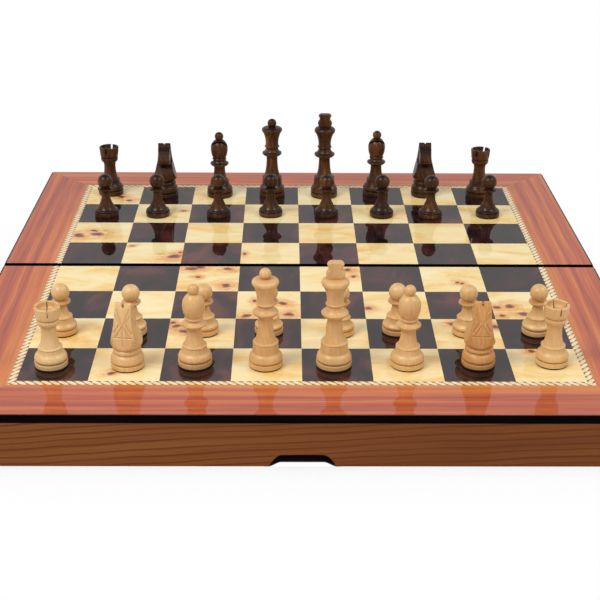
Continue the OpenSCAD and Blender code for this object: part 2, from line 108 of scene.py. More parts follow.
class Nodes:
    """A node tree while it is built: each call adds one node and gives its output."""

    def __init__(self, tree):
        self.nodes = tree.nodes
        self.links = tree.links

    def feed(self, socket, value):
        """Links an output to a socket, or sets the socket to a plain value."""
        if isinstance(value, bpy.types.NodeSocket):
            self.links.new(value, socket)
        elif value is not None:
            socket.default_value = value

    def add(self, kind, *values, **settings):
        """A new node with its settings made and its first sockets fed in order."""
        node = self.nodes.new(kind)
        for setting, value in settings.items():
            setattr(node, setting, value)
        for place, value in enumerate(values):
            self.feed(node.inputs[place], value)
        return node

    def plug(self, node, **values):
        """Feeds a node's sockets by name, with _ for a space."""
        for name, value in values.items():
            self.feed(node.inputs[name.replace("_", " ")], value)
        return node

    def sum(self, operation, *values):
        return self.add("ShaderNodeMath", *values, operation=operation).outputs[0]

    def plus(self, value, more):
        return self.sum("ADD", value, more)

    def minus(self, value, less):
        return self.sum("SUBTRACT", value, less)

    def times(self, value, factor):
        return self.sum("MULTIPLY", value, factor)

    def times_plus(self, value, factor, more):
        return self.sum("MULTIPLY_ADD", value, factor, more)

    def unsigned(self, value):
        return self.sum("ABSOLUTE", value)

    def vector(self, x, y=None, z=None):
        return self.add("ShaderNodeCombineXYZ", x, y, z).outputs[0]

    def spread(self, value, low, high, to_low=0, to_high=1):
        """Carries the range from low to high straight over to another range, and stops at its ends."""
        return self.add("ShaderNodeMapRange", value, low, high, to_low, to_high).outputs[0]

    def step(self, value, low, high, to_low=0, to_high=1):
        """As spread, but easing in and out."""
        node = self.add(
            "ShaderNodeMapRange", value, low, high, to_low, to_high,
            interpolation_type="SMOOTHSTEP",
        )
        return node.outputs[0]

    def choose(self, share, first, second):
        """The first colour where the share is 0 and the second where it is 1."""
        node = self.add("ShaderNodeMix", data_type="RGBA")
        self.feed(node.inputs[0], share)
        for socket, colour in ((node.inputs[6], first), (node.inputs[7], second)):
            self.feed(socket, (*colour, 1) if isinstance(colour, tuple) else colour)
        return node.outputs[2]

    def choose_number(self, share, first, second):
        node = self.add("ShaderNodeMix", data_type="FLOAT")
        for place, value in ((0, share), (2, first), (3, second)):
            self.feed(node.inputs[place], value)
        return node.outputs[0]


class Finish(Nodes):
    """A material while it is mixed."""

    def __init__(self, name, colour):
        self.material = bpy.data.materials.new(name)
        self.material.use_nodes = True
        self.material.diffuse_color = (*colour, 1)
        super().__init__(self.material.node_tree)
        self.surface = self.nodes["Principled BSDF"]

    def place(self):
        """Where the point is on the object, split into x, y and z."""
        point = self.add("ShaderNodeTexCoord").outputs["Object"]
        split = self.add("ShaderNodeSeparateXYZ", point)
        return split.outputs[0], split.outputs[1], split.outputs[2]

    def clouds(self, point, scale, detail=3, rough=0.5, twist=0):
        node = self.add("ShaderNodeTexNoise")
        self.plug(node, Vector=point, Scale=scale, Detail=detail, Roughness=rough, Distortion=twist)
        return node.outputs["Fac"]

    def streaks(self, point, by, detail=3, rough=0.5, twist=0):
        """Clouds drawn out: the larger a part's factor, the finer the pattern that way."""
        parts = [part if factor == 1 else self.times(part, factor) for part, factor in zip(point, by)]
        return self.clouds(self.vector(*parts), 1.0, detail, rough, twist)

    def ramp(self, value, *stops):
        node = self.add("ShaderNodeValToRGB", value)
        marks = node.color_ramp.elements
        while len(marks) < len(stops):
            marks.new(0.5)
        for mark, (position, colour) in zip(marks, stops):
            mark.position = position
            mark.color = (*colour, 1)
        return node.outputs[0]

    def relief(self, height, depth_mm, strength=1.0):
        bump = self.add("ShaderNodeBump")
        self.plug(bump, Strength=strength, Distance=depth_mm * MM, Height=height)
        self.feed(self.surface.inputs["Normal"], bump.outputs[0])

    def made(self, **values):
        """The material, with its surface given these values."""
        self.plug(self.surface, **values)
        return self.material


# ---- the board's finishes ----

LACQUER_IOR = 1.5
LACQUER_WEIGHT = 0.75
LACQUER_ROUGHNESS = 0.025
VENEER_ROUGHNESS = 0.55

# How far the painted shade of the gap beside the fold reaches over the veneer of each half, in
# millimetres
FOLD_LINE = {"near": 0.3, "far": 1.7}
# Matt black over the veneer beside the fold: painted shade of the gap between the halves
FOLD_GAP_SHADE = (0.0006, 0.0004, 0.0004)


def from_fold(finish, y):
    """How far a point on the board's face is from the fold, before the halves lean."""
    return finish.minus(finish.unsigned(y), TOP_SHIFT * MM)


def under_lacquer(finish, colour):
    """Clear polished lacquer over the board's face, up to the matt black line at the fold, which is
    painted shade standing for the dark gap between the halves.
    """
    _, y, _ = finish.place()
    on_far = finish.sum("GREATER_THAN", y, 0.0)
    black_to = [(FIRST_Y + FOLD_LINE[half]) * MM for half in HALVES]
    fold = finish.sum("LESS_THAN", from_fold(finish, y), finish.choose_number(on_far, *black_to))
    return finish.made(
        Base_Color=finish.choose(fold, colour, FOLD_GAP_SHADE),
        Roughness=VENEER_ROUGHNESS,
        Specular_IOR_Level=0.0,
        Coat_Weight=finish.choose_number(fold, LACQUER_WEIGHT, 0.0),
        Coat_IOR=LACQUER_IOR,
        Coat_Roughness=LACQUER_ROUGHNESS,
    )


def strip_place(finish):
    """Place on the mitred strips: along the strip, across it from the field, and which it is."""
    x, y, _ = finish.place()
    beside = finish.minus(finish.unsigned(x), FIELD_HALF * MM)
    beyond = finish.minus(from_fold(finish, y), FIELD_Y * MM)
    at_side = finish.sum("GREATER_THAN", beside, beyond)
    hand = finish.sum("SIGN", finish.choose_number(at_side, finish.times(y, -1.0), x))
    along = finish.times(hand, finish.choose_number(at_side, x, y))
    across = finish.choose_number(at_side, beyond, beside)
    which = finish.times_plus(at_side, 2.0, hand)
    return along, across, which


BORDER_PLUM = (0.29, 0.056, 0.048)
BORDER_DEEP = (0.42, 0.086, 0.038)
BORDER_RED = (0.510, 0.116, 0.046)
BORDER_ORANGE = (0.590, 0.173, 0.043)
BORDER_LIGHT = (0.65, 0.225, 0.060)
BORDER_RIM_DARK = (0.150, 0.075, 0.050)
BORDER_SWAY = 0.008
BORDER_EDGE = (BANDING_W + BORDER_W) * MM
BORDER_INNER = (BANDING_W + BORDER_W * 0.45) * MM


def border_veneer():
    """Straight-grained reddish veneer with plum streaks along each strip, darker at its outer edge."""
    finish = Finish("border_veneer", BORDER_RED)
    along, across, which = strip_place(finish)
    sway = finish.streaks((along, 0.0, which), (5.0, 1, 1), detail=2)
    swayed = finish.times_plus(sway, BORDER_SWAY, across)
    broad = finish.streaks((along, swayed, which), (2.6, 170.0, 9.7), detail=4, rough=0.55)
    fine = finish.streaks((along, swayed, which), (22.0, 800.0, 3.1), detail=2)
    inner = finish.step(across, BORDER_INNER, BANDING_W * MM, 0.0, 0.10)
    mixed = finish.plus(inner, finish.times_plus(fine, 0.34, broad))
    colour = finish.ramp(
        finish.spread(mixed, 0.44, 0.94),
        (0.0, BORDER_PLUM),
        (0.28, BORDER_DEEP),
        (0.50, BORDER_RED),
        (0.72, BORDER_ORANGE),
        (1.0, BORDER_LIGHT),
    )
    # Darker in a thin band along the outer edge
    rim = finish.step(across, BORDER_EDGE - 0.9 * MM, BORDER_EDGE - 0.4 * MM, 0.0, 0.75)
    return under_lacquer(finish, finish.choose(rim, colour, BORDER_RIM_DARK))


STRAND_PITCH = 5.67
STRAND_SLANT = 1.0
# The rope's middle and the start of the stringing beside it, as shares of the banding's width
ROPE_MIDDLE = 0.48
STRINGING_FROM = 0.455
BAND_CREAM = (0.80, 0.60, 0.33)
BAND_PALE = (0.90, 0.76, 0.49)
BAND_YELLOW = (0.66, 0.36, 0.13)
BAND_BROWN = (0.235, 0.100, 0.040)


def rope_banding():
    """Inlaid banding: slanting cream strands like a laid rope, brown wedges between their ends."""
    finish = Finish("rope_banding", BAND_CREAM)
    along, across, _ = strip_place(finish)
    off_middle = finish.minus(finish.sum("DIVIDE", across, BANDING_W * MM), ROPE_MIDDLE)
    pitches = finish.sum("DIVIDE", along, STRAND_PITCH * MM)
    slanted = finish.times_plus(off_middle, -STRAND_SLANT, pitches)
    from_joint = finish.unsigned(finish.minus(finish.sum("FRACT", slanted), 0.5))
    outwards = finish.times(finish.unsigned(off_middle), 2.2)
    wedge = finish.spread(outwards, 0.25, 1.0, 0.060, 0.26)
    joint = finish.minus(finish.plus(from_joint, wedge), 0.5)
    shade = finish.clouds(finish.vector(along, across), scale=260.0, detail=2)
    cream = finish.choose(finish.spread(shade, 0.35, 0.65), BAND_CREAM, BAND_PALE)
    rope = finish.choose(finish.step(joint, -0.05, 0.03), cream, BAND_BROWN)
    stringing = finish.sum("GREATER_THAN", finish.unsigned(off_middle), STRINGING_FROM)
    return under_lacquer(finish, finish.choose(stringing, rope, BAND_YELLOW))


# Knots in the pale squares: x and y on the board, length and width in millimetres, slant in degrees
KNOTS = {
    "near": (
        (-87, -7, 8, 3.2, 6), (-80, -4.5, 6, 3.0, 0), (-57, -8, 6, 2.6, -8), (-81.5, -23, 4, 1.8, 0),
        (-57.5, -40, 5.5, 4.2, 25), (-41, -94, 6, 3.4, 30), (-35, -68, 2.6, 2.4, 0),
        (-14, -72, 5.5, 2.6, -25), (-10, -91, 6, 3.0, 10), (-91, -112, 5.5, 2.6, 20),
        (-86, -120, 5.5, 2.8, -20), (-95, -106, 4, 2.0, 0), (-131, -185, 5, 2.0, 35),
        (38.5, -9, 6, 3.2, -10), (43, -22, 3.4, 2.2, 30), (124, -32.5, 3.0, 2.2, 0),
        (128, -34.5, 2.8, 2.0, 0), (51, -80, 5, 2.8, -35), (158.5, -76, 6.2, 3.4, 0),
        (148.5, -78, 6, 2.4, -25), (167.5, -89.5, 6.5, 3.2, 5), (151.5, -93, 4, 2.0, 20),
        (111, -107, 4.5, 2.4, 0), (163, -150.5, 4.4, 2.2, -20), (143.5, -112, 3.6, 3.0, 60),
    ),
    "far": (
        (-188, 67, 6.5, 4.2, 12), (-174, 71, 8, 4.6, -6), (-177.5, 79, 5, 2.0, 0),
        (-103.5, 19, 8.5, 4.4, 20), (-99, 28, 3.4, 1.8, 0), (-141, 43, 4, 1.6, 30),
        (-46.5, 26, 2.6, 2.6, 0), (-164, 168, 5.5, 3.0, -10), (-155.5, 157.5, 5.5, 2.6, 0),
        (-104, 130, 3, 1.6, 20),
    ),
}
# How much larger than listed a knot is drawn, and how far the noise bends it along x and y
KNOT_LENGTHEN = 1.15
KNOT_WIDEN = 1.75
KNOT_BEND = (7, -5)
KNOT_CORE = (0.135, 0.048, 0.042)
KNOT_RIM = (0.40, 0.125, 0.055)
PALE_LIGHT = (0.93, 0.79, 0.46)
PALE_CREAM = (0.91, 0.70, 0.33)
PALE_YELLOW = (0.88, 0.57, 0.19)
PALE_AMBER = (0.78, 0.40, 0.105)
PALE_ORANGE = (0.76, 0.32, 0.075)


def square_cell(finish, x, y):
    """A number for the square that a point is on, different for each square of a half."""
    from_left = finish.plus(x, FIELD_HALF * MM)
    from_first = finish.minus(from_fold(finish, y), FIRST_Y * MM)
    file = finish.sum("FLOOR", finish.sum("DIVIDE", from_left, SQUARE * MM))
    rank = finish.sum("FLOOR", finish.sum("DIVIDE", from_first, SQUARE * MM))
    return finish.times_plus(rank, 8.0, file)


def to_nearest_knot(finish, half, point):
    """Distance to the nearest knot, where 1 is the knot's own edge."""
    nearest = None
    for at_x, at_y, length, width, slant in KNOTS[half]:
        knot = finish.add("ShaderNodeMapping", vector_type="TEXTURE")
        finish.plug(
            knot,
            Vector=point,
            Location=(at_x * MM, at_y * MM, 0),
            Rotation=(0, 0, radians(slant)),
            Scale=(KNOT_LENGTHEN * length * MM / 2, KNOT_WIDEN * width * MM / 2, 1),
        )
        away = finish.add("ShaderNodeVectorMath", knot.outputs[0], operation="LENGTH").outputs["Value"]
        nearest = away if nearest is None else finish.sum("SMOOTH_MIN", nearest, away, 0.5)
    return nearest


def pale_squares(half):
    """Pale knotty veneer: cream and yellow clouds, brown knots with orange swirls round them."""
    finish = Finish(half + "_pale_veneer", PALE_CREAM)
    x, y, _ = finish.place()
    seed = finish.times(square_cell(finish, x, y), 0.731)
    bend = finish.minus(finish.clouds(finish.vector(x, y, seed), scale=70.0, detail=2), 0.5)
    bent_x = finish.times_plus(bend, KNOT_BEND[0] * MM, x)
    bent_y = finish.times_plus(bend, KNOT_BEND[1] * MM, y)
    cloud = finish.streaks((x, y, seed), (16.0, 42.0, 1), detail=4, rough=0.6, twist=0.8)
    swirl = finish.streaks((bent_x, bent_y, seed), (60.0, 260.0, 1), detail=3, rough=0.6, twist=1.2)
    ragged = finish.streaks((x, y, seed), (260.0, 520.0, 1), detail=3, rough=0.6)
    base = finish.ramp(
        finish.spread(finish.times_plus(swirl, 0.25, cloud), 0.46, 0.90),
        (0.0, PALE_LIGHT),
        (0.40, PALE_CREAM),
        (0.68, PALE_YELLOW),
        (1.0, PALE_AMBER),
    )
    smooth_away = to_nearest_knot(finish, half, finish.vector(bent_x, bent_y))
    away = finish.times_plus(finish.minus(ragged, 0.5), 1.7, smooth_away)
    ripple = finish.sum("SINE", finish.times(away, 7.0))
    swirled = finish.times_plus(ripple, 0.22, finish.times_plus(swirl, 2.5, -0.45))
    halo = finish.times(finish.step(away, 5.0, 0.9), swirled)
    warmed = finish.choose(halo, base, PALE_ORANGE)
    rimmed = finish.choose(finish.step(away, 1.45, 0.85), warmed, KNOT_RIM)
    return under_lacquer(finish, finish.choose(finish.step(away, 0.95, 0.45), rimmed, KNOT_CORE))


DARK_BLACK = (0.0100, 0.0052, 0.0056)
DARK_MAROON = (0.036, 0.0120, 0.0118)
DARK_RED = (0.118, 0.030, 0.025)


def dark_squares():
    """Near-black dyed veneer with faint dark red figure, some squares redder than others."""
    finish = Finish("dark_veneer", DARK_BLACK)
    x, y, _ = finish.place()
    seed = finish.times(square_cell(finish, x, y), 1.37)
    patches = finish.streaks((x, y, seed), (44.0, 26.0, 1), detail=3, rough=0.55, twist=0.5)
    tone = finish.clouds(finish.vector(0.0, 0.0, seed), scale=3.0, detail=0)
    colour = finish.ramp(
        finish.spread(finish.times_plus(tone, 0.5, patches), 0.58, 0.98),
        (0.0, DARK_BLACK),
        (0.5, DARK_MAROON),
        (1.0, DARK_RED),
    )
    return under_lacquer(finish, colour)


def hollows(finish, reach_mm, own_only=True):
    """How open the surface is, for painted shade: 1 on open faces, towards 0 in grooves and under
    flanges.
    """
    open_sky = finish.add("ShaderNodeAmbientOcclusion", samples=8, only_local=own_only)
    finish.plug(open_sky, Distance=reach_mm * MM)
    return open_sky.outputs["AO"]


RAIL_DEEP = (0.172, 0.047, 0.0095)
RAIL_BROWN = (0.222, 0.0640, 0.0120)
RAIL_PALE = (0.262, 0.088, 0.019)
RAIL_LINE = (0.140, 0.0300, 0.0060)
RAIL_SHADE = (0.020, 0.0075, 0.0035)
RAIL_CLIMB = -0.060
RAIL_SWAY = 0.012
RAIL_SHADE_REACH = 5.0
# Grain lines to a metre of the rail's height
RAIL_LINES = 205.0


def rail_grain(finish, along, layers):
    """Thin grain lines, each dark at one edge, that fade out here and there."""
    uneven = finish.streaks((0.0, 0.0, layers), (1, 1, 60.0), detail=1)
    turns = finish.times_plus(uneven, 1.6, finish.times(layers, RAIL_LINES))
    saw = finish.sum("FRACT", turns)
    line = finish.times(finish.step(saw, 0.62, 0.93), finish.step(saw, 1.0, 0.955))
    broken = finish.streaks((along, 0.0, layers), (9.0, 1, 150.0), detail=2)
    return finish.times(line, finish.step(broken, 0.20, 0.50))


def walnut_rails():
    """Satin brown rails with thin darker grain lines that climb gently, shaded under the panel."""
    finish = Finish("walnut", RAIL_BROWN)
    x, y, z = finish.place()
    beside = finish.minus(finish.unsigned(x), (HALF_W - RAIL_SETBACK) * MM)
    beyond = finish.minus(finish.unsigned(y), (HALF_D - RAIL_SETBACK) * MM)
    at_side = finish.sum("GREATER_THAN", beside, beyond)
    along = finish.choose_number(at_side, x, y)
    depth = finish.choose_number(at_side, y, x)
    sway = finish.streaks((along, 0.0, z), (7.0, 1, 14.0), detail=2)
    height = finish.times_plus(sway, RAIL_SWAY, finish.times_plus(along, RAIL_CLIMB, z))
    layers = finish.times_plus(depth, 0.30, height)
    fibre = finish.streaks((along, depth, height), (25.0, 500.0, 1400.0), detail=3, rough=0.6)
    tone = finish.streaks((along, depth, height), (3.0, 30.0, 60.0), detail=2)
    base = finish.ramp(
        finish.spread(finish.times_plus(fibre, 0.45, tone), 0.50, 0.92),
        (0.0, RAIL_DEEP),
        (0.45, RAIL_BROWN),
        (1.0, RAIL_PALE),
    )
    lined = finish.choose(rail_grain(finish, along, layers), base, RAIL_LINE)
    shade = finish.step(hollows(finish, RAIL_SHADE_REACH, False), 0.62, 0.30, 0.0, 0.85)
    finish.relief(fibre, depth_mm=0.05, strength=0.5)
    return finish.made(
        Base_Color=finish.choose(shade, lined, RAIL_SHADE),
        Roughness=finish.spread(fibre, 0.3, 0.7, 0.36, 0.48),
        Specular_IOR_Level=0.16,
    )


LACQUER_BLACK = (0.0008, 0.0005, 0.0005)
LACQUER_BRUSHED = (0.0024, 0.0014, 0.0012)


def black_lacquer():
    """Polished black edge of the panel, with the faintest brush marks."""
    finish = Finish("black_lacquer", (0.006, 0.005, 0.005))
    marks = finish.streaks(finish.place(), (20.0, 20.0, 300.0))
    return finish.made(
        Base_Color=finish.ramp(marks, (0.3, LACQUER_BLACK), (0.75, LACQUER_BRUSHED)),
        Roughness=finish.spread(marks, 0.3, 0.7, 0.16, 0.24),
        Specular_IOR_Level=0.025,
    )


# ---- the men's finishes ----

RING_FINENESS = 2600.0


def grown_wood(finish, ring_share, fibre_share, tone_share):
    """Grain of a stick of wood that stands upright: year rings, fibres and slow changes of tone."""
    x, y, z = finish.place()
    drift = finish.streaks((x, y, z), (25.0, 25.0, 16.0), detail=2)
    from_pith = finish.times_plus(drift, 0.010, finish.times_plus(x, 0.8, finish.times(y, 0.6)))
    rings = finish.sum("SINE", finish.times(from_pith, RING_FINENESS * ring_share))
    fibre = finish.streaks((x, y, z), (900.0, 900.0, 45.0), detail=3, rough=0.6)
    tone = finish.streaks((x, y, z), (60.0, 60.0, 22.0), detail=2)
    lengthwise = finish.times_plus(fibre, fibre_share, finish.times(tone, tone_share))
    return finish.times_plus(rings, 0.035, lengthwise), fibre


def piece_tone(finish):
    """How warm this man's wood is, from 0 to 1, as dress_man gives it."""
    return finish.add("ShaderNodeAttribute", attribute_name="tone").outputs["Fac"]


def facing_up(finish):
    """How far the surface faces up, from -1 to 1, on the man's own axes."""
    own = finish.add("ShaderNodeTexCoord").outputs["Normal"]
    return finish.add("ShaderNodeSeparateXYZ", own).outputs["Z"]


WOOD_PALE_STOPS = (
    (0.0, (0.74, 0.445, 0.170)),
    (0.5, (0.830, 0.550, 0.245)),
    (1.0, (0.90, 0.66, 0.340)),
)
WOOD_WARM_STOPS = (
    (0.0, (0.53, 0.235, 0.070)),
    (0.5, (0.670, 0.325, 0.098)),
    (1.0, (0.80, 0.47, 0.19)),
)
# Painted shade colour for the grooves and under the flanges
WOOD_PAINTED_SHADE = (0.560, 0.250, 0.075)
WOOD_END = (0.640, 0.360, 0.135)
# How far the painted shade looks for cover, in millimetres
WOOD_SHADE_REACH = 7.0


def boxwood():
    """Waxed pale wood of the light men, some of them warmer than others, with painted shade in the
    grooves and under the flanges.
    """
    finish = Finish("boxwood", WOOD_PALE_STOPS[1][1])
    grain, fibre = grown_wood(finish, ring_share=1.0, fibre_share=0.50, tone_share=0.7)
    grain = finish.spread(grain, 0.30, 0.90)
    pale = finish.ramp(grain, *WOOD_PALE_STOPS)
    warm = finish.ramp(grain, *WOOD_WARM_STOPS)
    turned_face = finish.choose(piece_tone(finish), pale, warm)
    end_grain = finish.step(facing_up(finish), 0.80, 1.0, 0.0, 0.7)
    clean = finish.choose(end_grain, turned_face, WOOD_END)
    # Painted shade: darker orange where the surface is closed in, in grooves and under flanges
    painted_shade = finish.step(hollows(finish, WOOD_SHADE_REACH), 0.97, 0.35, 0.0, 0.9)
    finish.relief(fibre, depth_mm=0.03, strength=0.35)
    return finish.made(
        Base_Color=finish.choose(painted_shade, clean, WOOD_PAINTED_SHADE),
        Roughness=finish.spread(fibre, 0.3, 0.7, 0.36, 0.48),
        Specular_IOR_Level=0.35,
        Coat_Weight=0.35,
        Coat_Roughness=0.25,
    )


# The darkest colour is stain, and also the painted shade in the grooves and the painted dark reflection
# on top
STAIN_AND_SHADE_BLACK = (0.012, 0.0060, 0.0045)
STAIN_DEEP = (0.032, 0.0125, 0.0050)
STAIN_DARK = (0.066, 0.0235, 0.0080)
STAIN_BROWN = (0.128, 0.0455, 0.0125)
STAIN_ORANGE = (0.290, 0.1080, 0.0260)
STAIN_SHADE_REACH = 3.0


def stained_wood():
    """Stained and varnished wood of the dark men: brown on upright faces; near black on top, partly end
    grain and partly a painted reflection of the dark ceiling; painted shade in the grooves.
    """
    finish = Finish("stained_wood", STAIN_BROWN)
    grain, fibre = grown_wood(finish, ring_share=0.7, fibre_share=0.40, tone_share=0.6)
    lifted = finish.times_plus(piece_tone(finish), 0.15, grain)
    brown = finish.ramp(
        finish.spread(lifted, 0.36, 0.80),
        (0.0, STAIN_DEEP),
        (0.45, STAIN_DARK),
        (0.75, STAIN_BROWN),
        (1.0, STAIN_ORANGE),
    )
    # Near black on upward faces: partly end grain taking more stain, partly a painted reflection of the
    # dark ceiling
    top = finish.step(facing_up(finish), 0.34, 0.86, 0.0, 0.90)
    # Painted shade: near black in grooves and under flanges
    painted_shade = finish.step(hollows(finish, STAIN_SHADE_REACH), 0.90, 0.40)
    finish.relief(fibre, depth_mm=0.02, strength=0.3)
    return finish.made(
        Base_Color=finish.choose(finish.sum("MAXIMUM", top, painted_shade), brown, STAIN_AND_SHADE_BLACK),
        Roughness=finish.spread(fibre, 0.3, 0.7, 0.34, 0.46),
        Specular_IOR_Level=0.2,
        Coat_Weight=0.24,
        Coat_IOR=1.45,
        Coat_Roughness=0.09,
    )


# ---- felt and metal ----

def felt(name, colour):
    """Pressed wool felt: tangled fibres, no gloss."""
    finish = Finish(name, colour)
    point = finish.vector(*finish.place())
    tangle = finish.clouds(point, scale=900.0, detail=5, rough=0.7, twist=2.0)
    nap = finish.clouds(point, scale=60.0, detail=2)
    mixed = finish.spread(finish.times_plus(nap, 0.5, tangle), 0.5, 1.0)
    dark = tuple(0.55 * c for c in colour)
    pale = tuple(min(1.0, 1.6 * c) for c in colour)
    finish.relief(tangle, depth_mm=0.35)
    return finish.made(
        Base_Color=finish.ramp(mixed, (0.0, dark), (0.5, colour), (1.0, pale)),
        Roughness=finish.spread(tangle, 0.3, 0.7, 0.86, 0.98),
        Sheen_Weight=0.25,
        Specular_IOR_Level=0.1,
    )


ACROSS_BRUSH = 2500.0


def metal(name, colour, worn, roughness, brush):
    """Rolled metal: fine brushing along X and a slow change of colour."""
    finish = Finish(name, colour)
    place = finish.place()
    lines = finish.streaks(place, (brush, ACROSS_BRUSH, ACROSS_BRUSH), detail=3, rough=0.6)
    patina = finish.clouds(finish.vector(*place), scale=160.0, detail=3)
    finish.relief(lines, depth_mm=0.01, strength=0.4)
    return finish.made(
        Base_Color=finish.choose(finish.step(patina, 0.40, 0.70), colour, worn),
        Metallic=1.0,
        Roughness=finish.spread(lines, 0.3, 0.7, roughness, roughness + 0.12),
    )


# ---- where things are ----

def half_place(half):
    """From the flat drawing of a half, in millimetres, to that half as it stands."""
    laid = (
        Matrix.Translation((0, 0, BARREL_R * MM))
        @ Matrix.Rotation(-LEAN, 4, "X")
        @ Matrix.Translation((0, 0, AXIS_OUT * MM))
        @ Matrix.Scale(MM, 4)
    )
    if half == "near":
        return Matrix.Rotation(pi, 4, "Z") @ laid
    return laid


def man_place(side, file, rank, turn, shift):
    """Where a man stands: its square, how it is turned and how far it is off the middle."""
    half = "near" if side == "light" else "far"
    drawn_file = 7 - file if side == "light" else file
    spot = Matrix.Translation((
        (drawn_file - 3.5) * SQUARE,
        FIRST_Y + (rank + 0.5) * SQUARE,
        HALF_H,
    ))
    right = shift[0] if side == "dark" else -shift[0]
    moved = Matrix.Translation((right, shift[1], 0))
    return half_place(half) @ spot @ moved @ Matrix.Rotation(pi + radians(turn), 4, "Z")


# ---- making meshes ----

def new_piece(name, mesh):
    piece = bpy.data.objects.new(name, mesh)
    bpy.context.scene.collection.objects.link(piece)
    return piece


def mesh_from(points, faces, name="work"):
    mesh = bpy.data.meshes.new(name)
    mesh.from_pydata([tuple(p) for p in points], [], faces)
    mesh.update()
    return mesh


def settle(piece):
    """The piece with its modifiers carried out, as a plain mesh."""
    bpy.context.view_layer.update()
    ready = piece.evaluated_get(bpy.context.evaluated_depsgraph_get())
    mesh = bpy.data.meshes.new_from_object(ready)
    piece.modifiers.clear()
    old = piece.data
    piece.data = mesh
    if isinstance(old, bpy.types.Mesh):
        bpy.data.meshes.remove(old)
    return piece


def turn_outwards(mesh, merge=None, smooth=False):
    """Merges points closer than a limit, then turns every face outwards."""
    work = bmesh.new()
    work.from_mesh(mesh)
    if merge is not None:
        bmesh.ops.remove_doubles(work, verts=work.verts, dist=merge)
    bmesh.ops.recalc_face_normals(work, faces=work.faces)
    if smooth:
        for face in work.faces:
            face.smooth = True
    work.to_mesh(mesh)
    work.free()


# In metres, on a piece in its place
SEAM = 1e-7
# In millimetres, on a piece still on the lathe
LATHE_SEAM = 1e-4
CRISP_ANGLE = 32


def tidy_mesh(mesh):
    """Closes seams, turns every face outwards and shades it smooth between crisp edges."""
    turn_outwards(mesh, SEAM, True)
    mesh.set_sharp_from_angle(angle=radians(CRISP_ANGLE))


def cut(piece, cutters, operation="DIFFERENCE"):
    for cutter in cutters:
        change = piece.modifiers.new("cut", "BOOLEAN")
        change.operation = operation
        change.solver = "EXACT"
        change.object = cutter
    settle(piece)
    for cutter in cutters:
        bpy.data.objects.remove(cutter)


def joined(first, *others):
    """Several closed solids kept together as one piece."""
    work = bmesh.new()
    for part in (first, *others):
        work.from_mesh(part.data)
    work.to_mesh(first.data)
    work.free()
    for part in others:
        bpy.data.objects.remove(part)
    return first


def oblong(left, right, low, high):
    return [(left, low), (right, low), (right, high), (left, high)]


def prism(outline, low, high, axis="Z"):
    """A straight prism over a flat outline. Its length runs along the axis."""
    def stand(u, v, w):
        return {"X": (w, u, v), "Y": (u, w, v), "Z": (u, v, w)}[axis]
    count = len(outline)
    points = [stand(u, v, low) for u, v in outline]
    points += [stand(u, v, high) for u, v in outline]
    faces = [tuple(range(count)), tuple(range(count, 2 * count))]
    faces += [(i, (i + 1) % count, count + (i + 1) % count, count + i) for i in range(count)]
    mesh = mesh_from(points, faces)
    turn_outwards(mesh)
    return new_piece("cutter", mesh)


# ---- outlines of the turned men: radius and height in millimetres ----

def arc(cx, cz, r, start, end, n=8):
    steps = [radians(start + (end - start) * i / n) for i in range(n + 1)]
    return [(cx + r * cos(a), cz + r * sin(a)) for a in steps]


def curve(first, pull, last, n=8):
    """Points on a curve that leaves the first point towards the pull and comes to the last from it."""
    points = []
    for i in range(n + 1):
        t = i / n
        points.append(tuple(
            (1 - t) ** 2 * a + 2 * t * (1 - t) * b + t * t * c
            for a, b, c in zip(first, pull, last)
        ))
    return points


# Felt under the foot, thick enough that its dark edge also stands in for the contact shadow under the
# man
BASE_FELT_T = 0.9


def foot_disc(r, top=5.0):
    """Felt under the foot, then the foot disc with its groove."""
    return (
        [(0, 0), (r - 0.5, 0), (r - 0.5, BASE_FELT_T), (r - 0.4, BASE_FELT_T)]
        + arc(r - 0.3, 1.25, 0.3, -75, 0, 5)
        + arc(r - 0.6, top - 1.1, 0.6, 0, 90, 6)
        + [(r - 1.1, top - 0.4), (r - 1.1, top)]
    )


def foot(r, shoulder_r, shoulder_z, ring_r, ring_z):
    """Foot disc, bell with its shoulder, collar and ring."""
    return (
        foot_disc(r)
        + curve((r - 0.6, 5.1), (r + 0.1, 5.9), (r - 0.2, 7.0), 8)
        + curve((r - 0.3, 7.3), (r - 0.9, shoulder_z - 0.9), (shoulder_r, shoulder_z), 10)
        + curve(
            (shoulder_r - 0.3, shoulder_z + 0.5),
            (ring_r + 0.2, ring_z - 3),
            (ring_r - 0.1, ring_z - 0.8),
        )
        + arc(ring_r - 0.5, ring_z, 0.6, -60, 80, 8)
    )


def bead(r, z, b, n=9):
    return arc(r - b, z, b, -80, 80, n)


def king_outline():
    return (
        foot(12.4, 10.0, 11.0, 9.3, 18.5)
        + curve((7.6, 19.5), (5.4, 23.0), (5.1, 35.2), 16)
        + [(5.2, 36.8)]
        + curve((5.6, 37.6), (8.6, 38.2), (9.3, 39.9), 9)
        + arc(8.9, 40.6, 0.5, -30, 70, 6)
        + curve((8.8, 41.2), (6.8, 42.0), (5.8, 44.6), 9)
        + [(5.5, 45.3), (5.6, 46.0)]
        + bead(6.5, 47.3, 0.8)
        + [(5.8, 48.5)]
        + curve((5.7, 49.3), (5.5, 54.5), (7.9, 59.6), 14)
        + curve((8.3, 60.2), (9.5, 61.4), (9.5, 62.8), 8)
        + curve((9.4, 63.6), (8.9, 65.3), (5.9, 66.3), 8)
        + [(0, 66.3)]
    )


def finial_outline():
    return (
        [(0, 66.0), (5.7, 66.0), (5.6, 66.7)]
        + curve((5.7, 67.2), (7.4, 69.4), (5.7, 71.9), 10)
        + curve((5.2, 72.4), (4.6, 73.8), (5.2, 75.0), 8)
        + curve((5.4, 75.3), (6.3, 76.4), (5.4, 77.5), 8)
        + [(4.6, 78.0), (0, 78.4)]
    )


